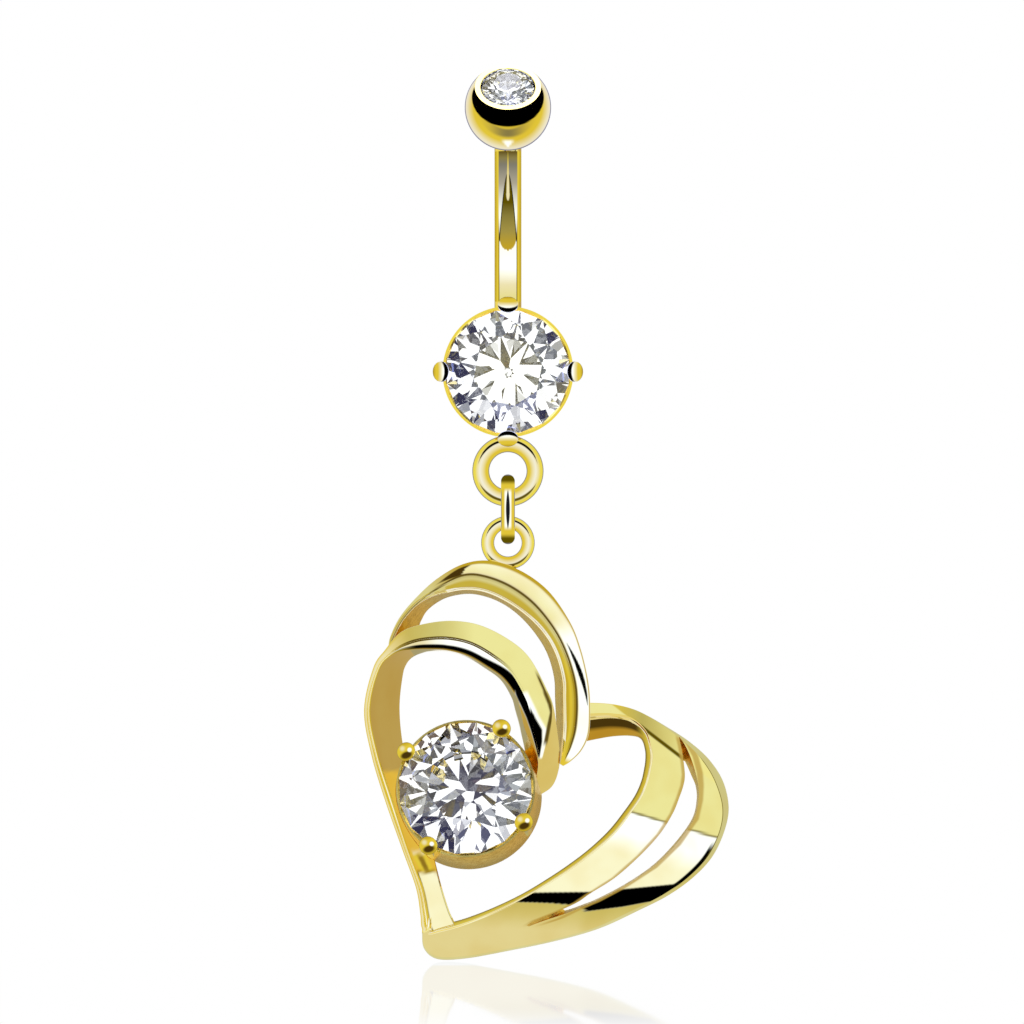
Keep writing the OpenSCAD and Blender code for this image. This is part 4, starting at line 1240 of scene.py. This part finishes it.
def wall_tone(u, v, t, step):
    """The painted reflections on the left ribbon's inner wall: tan above, orange gold beside the stone as
    painted light from the cup, and the strut's cream facet of painted highlight.
    """
    share = (step - WALL_STEP) / 4
    strut = over(IVORY, (UMBER, fade(share, 0.10, 0.02)), (UMBER, fade(share, 0.93, 0.99)))
    # Where the wall meets the cup: painted orange light from the cup, a painted highlight and painted brown
    # shade, not a dark seam.
    bend = abs(share - 0.42 + 3.2 * (v - 0.25))
    joint = over(SUN, (HONEY, fade(bend, 0.42, 0.22)),
                 (BUTTER, fade(bend, 0.30, 0.20) * fade(v, 0.262, 0.268)),
                 (BRONZE, fade(bend, 0.20, 0.04) * fade(abs(v - 0.242), 0.028, 0.012)),
                 (BRONZE, 0.7 * fade(v, 0.226, 0.222) * fade(bend, 0.9, 0.3)))
    gold = over(SUN, (joint, fade(v, 0.28, 0.26)))
    return over((0.53, 0.41, 0.21), (gold, fade(v, 0.478, 0.466)), (strut, fade(v, 0.220, 0.215)))


def top_tone(u, v, t, step):
    """The painted reflections on the top ribbon: tan, a dark wedge, ivory with a black sliver, and a hollow
    with a pale lip.
    """
    if step < FACE_STEP:
        return over(DUNE, (BRASS, fade(t, 3, 5)), (BUTTER, fade(t, 8, 9)))
    if step < ROLL_STEP - 3:
        share = min(max((step - 16) / 6, 0.0), 1.0)
        tip = curve(t, (4.95, 0.85), (5.05, 0.45), (5.3, 0.2), (8.0, 0.14), (9.0, 0.04))
        reach = 0.42 * fade(t, 3.6, 5.0)
        wedge = fade(abs(share - 0.62), reach + 0.06, reach - 0.06)
        tone = over(ladder(t, (3.6, DUNE), (5, BRASS)),
                    (BROWN, wedge * fade(t, 3.7, 4.3) * fade(t, 5.6, 5.2)))
        ivory = ladder(share, (0.0, BUTTER), (0.25, IVORY), (0.8, (0.98, 1.08, 1.35)), (0.92, BUTTER))
        ivory = over(ivory, (MILK, fade(t, 8.6, 9.6) * fade(share, 0.98, 0.85)))
        tone = over(tone, (ivory, fade(share, tip - 0.05, tip + 0.05) * fade(t, 4.88, 4.96)))
        middle = 0.69 - 3.9 * (0.777 - v)
        half = 0.20 * max(0.0, 1 - (abs(v - 0.715) / 0.085) ** 1.5)
        return over(tone, (INK, fade(abs(share - middle), half + 0.02, half - 0.03) * fade(t, 8.5, 9.0)
                           * fade(abs(v - 0.715), 0.085, 0.075)),
                    (UMBER, fade(share, 0.93, 0.99) * fade(t, 3.5, 4.5)), (HONEY, fade(t, 14.6, 15.4)))
    share = (step - ROLL_STEP + 3) / 19
    tone = ladder(share, (0.0, UMBER), (0.06, DUNE), (0.30, DUNE), (0.42, OCHRE), (0.60, OCHRE), (0.72, TAN),
                  (0.80, AMBER), (0.87, MILK), (0.95, BUTTER), (1.0, UMBER))
    low = ladder(share, (0.0, UMBER), (0.08, BRASS), (0.25, OCHRE), (0.40, HONEY), (0.55, BRASS),
                 (0.70, HONEY), (0.80, BRASS), (0.87, MILK), (0.95, HONEY), (1.0, AMBER))
    return over(tone, (low, fade(t, 9.0, 11.0)), (HONEY, fade(t, 13.5, 15.0)))


def build_cards(places):
    """The cards of painted reflection, highlight and shade round the ball, the shaft, the rings, the beads
    and the ribbons.
    """
    for name, rows, form, steps, reach, paint in (
        ("right_card", RIGHT_RIBBON[:22], RIGHT_FORM, (BEVEL_STEP, WALL_STEP), RIBBON_REACH, right_tone),
        ("left_card", LEFT_RIBBON, LEFT_FORM, (BEVEL_STEP, WALL_STEP - 1), RIBBON_REACH, left_tone),
        ("wall_card", LEFT_RIBBON[:11], LEFT_FORM, (WALL_STEP, WALL_STEP + 4), WALL_REACH, wall_tone),
        ("top_card", TOP_RIBBON, TOP_FORM, (BEVEL_STEP, WALL_STEP), RIBBON_REACH, top_tone),
    ):
        build_card(name, "heart", ribbon_spots(places["heart"], rows, form, steps, paint), reach)
    build_card("ball_card", "ball", ball_spots(), BALL_REACH)
    build_card("shaft_card", "barbell", shaft_spots(), WIRE_REACH)
    for name, body, z, od, wire in (
        ("hanger_card", "barbell", places["hanger_z"], HANGER_OD, HANGER_WIRE),
        ("bail_card", "heart", places["bail_z"], BAIL_OD, BAIL_WIRE),
    ):
        build_card(name, body, ring_spots(Vector((0, places["hang_y"], z)), od, wire), WIRE_REACH)
    link_middle = Vector((0, places["hang_y"], places["link_z"]))
    build_card("link_card", "link", link_spots(link_middle), LINK_REACH)
    for k in range(4):
        turn = k * math.pi / 2
        outward = Vector((math.cos(turn), 0, math.sin(turn)))
        middle = places["basket"] + CLAW_R * outward + Vector((0, -BEAD_RISE, 0))
        spots = dome_spots(middle, CLAW_DOME_R, -outward, claw_tone)
        build_card(f"claw_card_{k}", "barbell", spots, BEAD_REACH)
        spin = cup_place(places) @ Matrix.Rotation(CUP_PRONG_TURN + turn, 4, "Z")
        middle = spin @ Vector((CUP_R - BEAD_LEAN, 0, BEAD_RISE))
        spots = dome_spots(middle, HEART_DOME_R, Vector((0.3, 0, -0.95)), bead_tone)
        build_card(f"bead_card_{k}", "heart", spots, BEAD_REACH)


def build_stage():
    """The pale floor under the heart's tip, with a faint gloss at a grazing look."""
    low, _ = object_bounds()
    corners = (-1, -1), (1, -1), (1, 1), (-1, 1)
    points = [(x * FLOOR_HALF, y * FLOOR_HALF, low.z - FLOOR_DROP) for x, y in corners]
    mesh = bpy.data.meshes.new("floor")
    mesh.from_pydata(points, [], [(0, 1, 2, 3)])
    floor = new_object("floor", mesh)
    material, nodes = new_material("floor")
    depth = nodes.add("ShaderNodeSeparateXYZ", {"Vector": nodes.place()}).outputs[1]
    near = nodes.ramp(depth, -95 * MM, -60 * MM, 0.0, 0.26)
    share = nodes.math("MULTIPLY", near, nodes.ramp(depth, -4 * MM, 4 * MM, 1.0, 0.0))
    graze = nodes.add("ShaderNodeLayerWeight", {"Blend": 0.5}).outputs["Facing"]
    share = nodes.math("MULTIPLY", share, nodes.ramp(graze, 0.70, 0.93))
    white = nodes.add("ShaderNodeEmission", {"Color": (1, 1, 1, 1), "Strength": 1.0})
    gloss = nodes.add("ShaderNodeBsdfGlossy", {"Color": (1, 1, 1, 1), "Roughness": 0.03})
    nodes.surface(nodes.blend(share, white, gloss))
    mesh.materials.append(material)
    floor.visible_glossy = floor.visible_diffuse = floor.visible_transmission = False


def build_camera():
    """A long lens straight at the front, framed as the photograph is."""
    lens = bpy.data.cameras.new("camera")
    lens.sensor_width = SENSOR
    lens.sensor_fit = "HORIZONTAL"
    lens.lens = SENSOR * CAMERA_DISTANCE / VIEW_WIDTH
    lens.clip_start = 0.01
    camera = bpy.data.objects.new("camera", lens)
    bpy.context.scene.collection.objects.link(camera)
    camera.location = (VIEW_CENTRE[0], FRONT_Y - CAMERA_DISTANCE, VIEW_CENTRE[1])
    camera.rotation_euler = (math.pi / 2, 0, 0)
    bpy.context.scene.camera = camera


def set_look():
    """Plain colours with no film curve, so that white stays white."""
    scene = bpy.context.scene
    scene.view_settings.view_transform = "Standard"
    scene.view_settings.look = "None"
    scene.cycles.use_denoising = True
    scene.cycles.max_bounces = 16
    scene.cycles.glossy_bounces = 8
    scene.cycles.transmission_bounces = 14


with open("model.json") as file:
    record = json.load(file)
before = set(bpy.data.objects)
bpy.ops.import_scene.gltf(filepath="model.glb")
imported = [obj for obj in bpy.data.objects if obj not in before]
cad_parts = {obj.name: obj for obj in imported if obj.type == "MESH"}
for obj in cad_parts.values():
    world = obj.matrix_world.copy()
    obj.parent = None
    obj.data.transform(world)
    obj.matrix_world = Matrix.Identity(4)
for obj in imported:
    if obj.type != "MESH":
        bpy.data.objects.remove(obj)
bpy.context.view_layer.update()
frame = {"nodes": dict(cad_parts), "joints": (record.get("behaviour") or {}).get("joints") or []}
places = lookup_places(frame)
set_look()
build_camera()
build_world()
build_stage()
build_cards(places)

polished = gold_material("gold_polished", GOLD, roughness=0.02, spread=0.04, ripple=0.05, ripple_scale=260.0,
                         scratch=0.2)
heart_gold = gold_material("gold_cast_polished", GOLD, roughness=0.025, spread=0.05, ripple=0.08,
                           ripple_scale=420.0, scratch=0.25)
# The cast walls' more orange colour is painted shade of the recesses they line.
rough = cast_material("gold_cast_rough", ROUGH_GOLD_PAINTED_SHADE)
foil = foil_material("stone_foil")
clear = stone_material("clear_stone")

barbell = build_barbell(places, [polished])
ball = build_ball([polished, foil])
link = build_link(places, [polished])
heart = build_heart(places, [heart_gold, rough])

for piece, body, node, slot in (
    (barbell, "barbell", "barbell", "gold_polished"),
    (ball, "ball", "top_ball", "gold_polished"),
    (link, "link", "jump_ring", "gold_polished"),
    (heart, "heart", "heart_frame", "gold_cast"),
):
    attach(piece, body)
    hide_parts(node)
for name in ("barbell_stone", "ball_stone", "heart_stone"):
    stone = frame["nodes"][name]
    stone.data.materials.clear()
    stone.data.materials.append(clear)
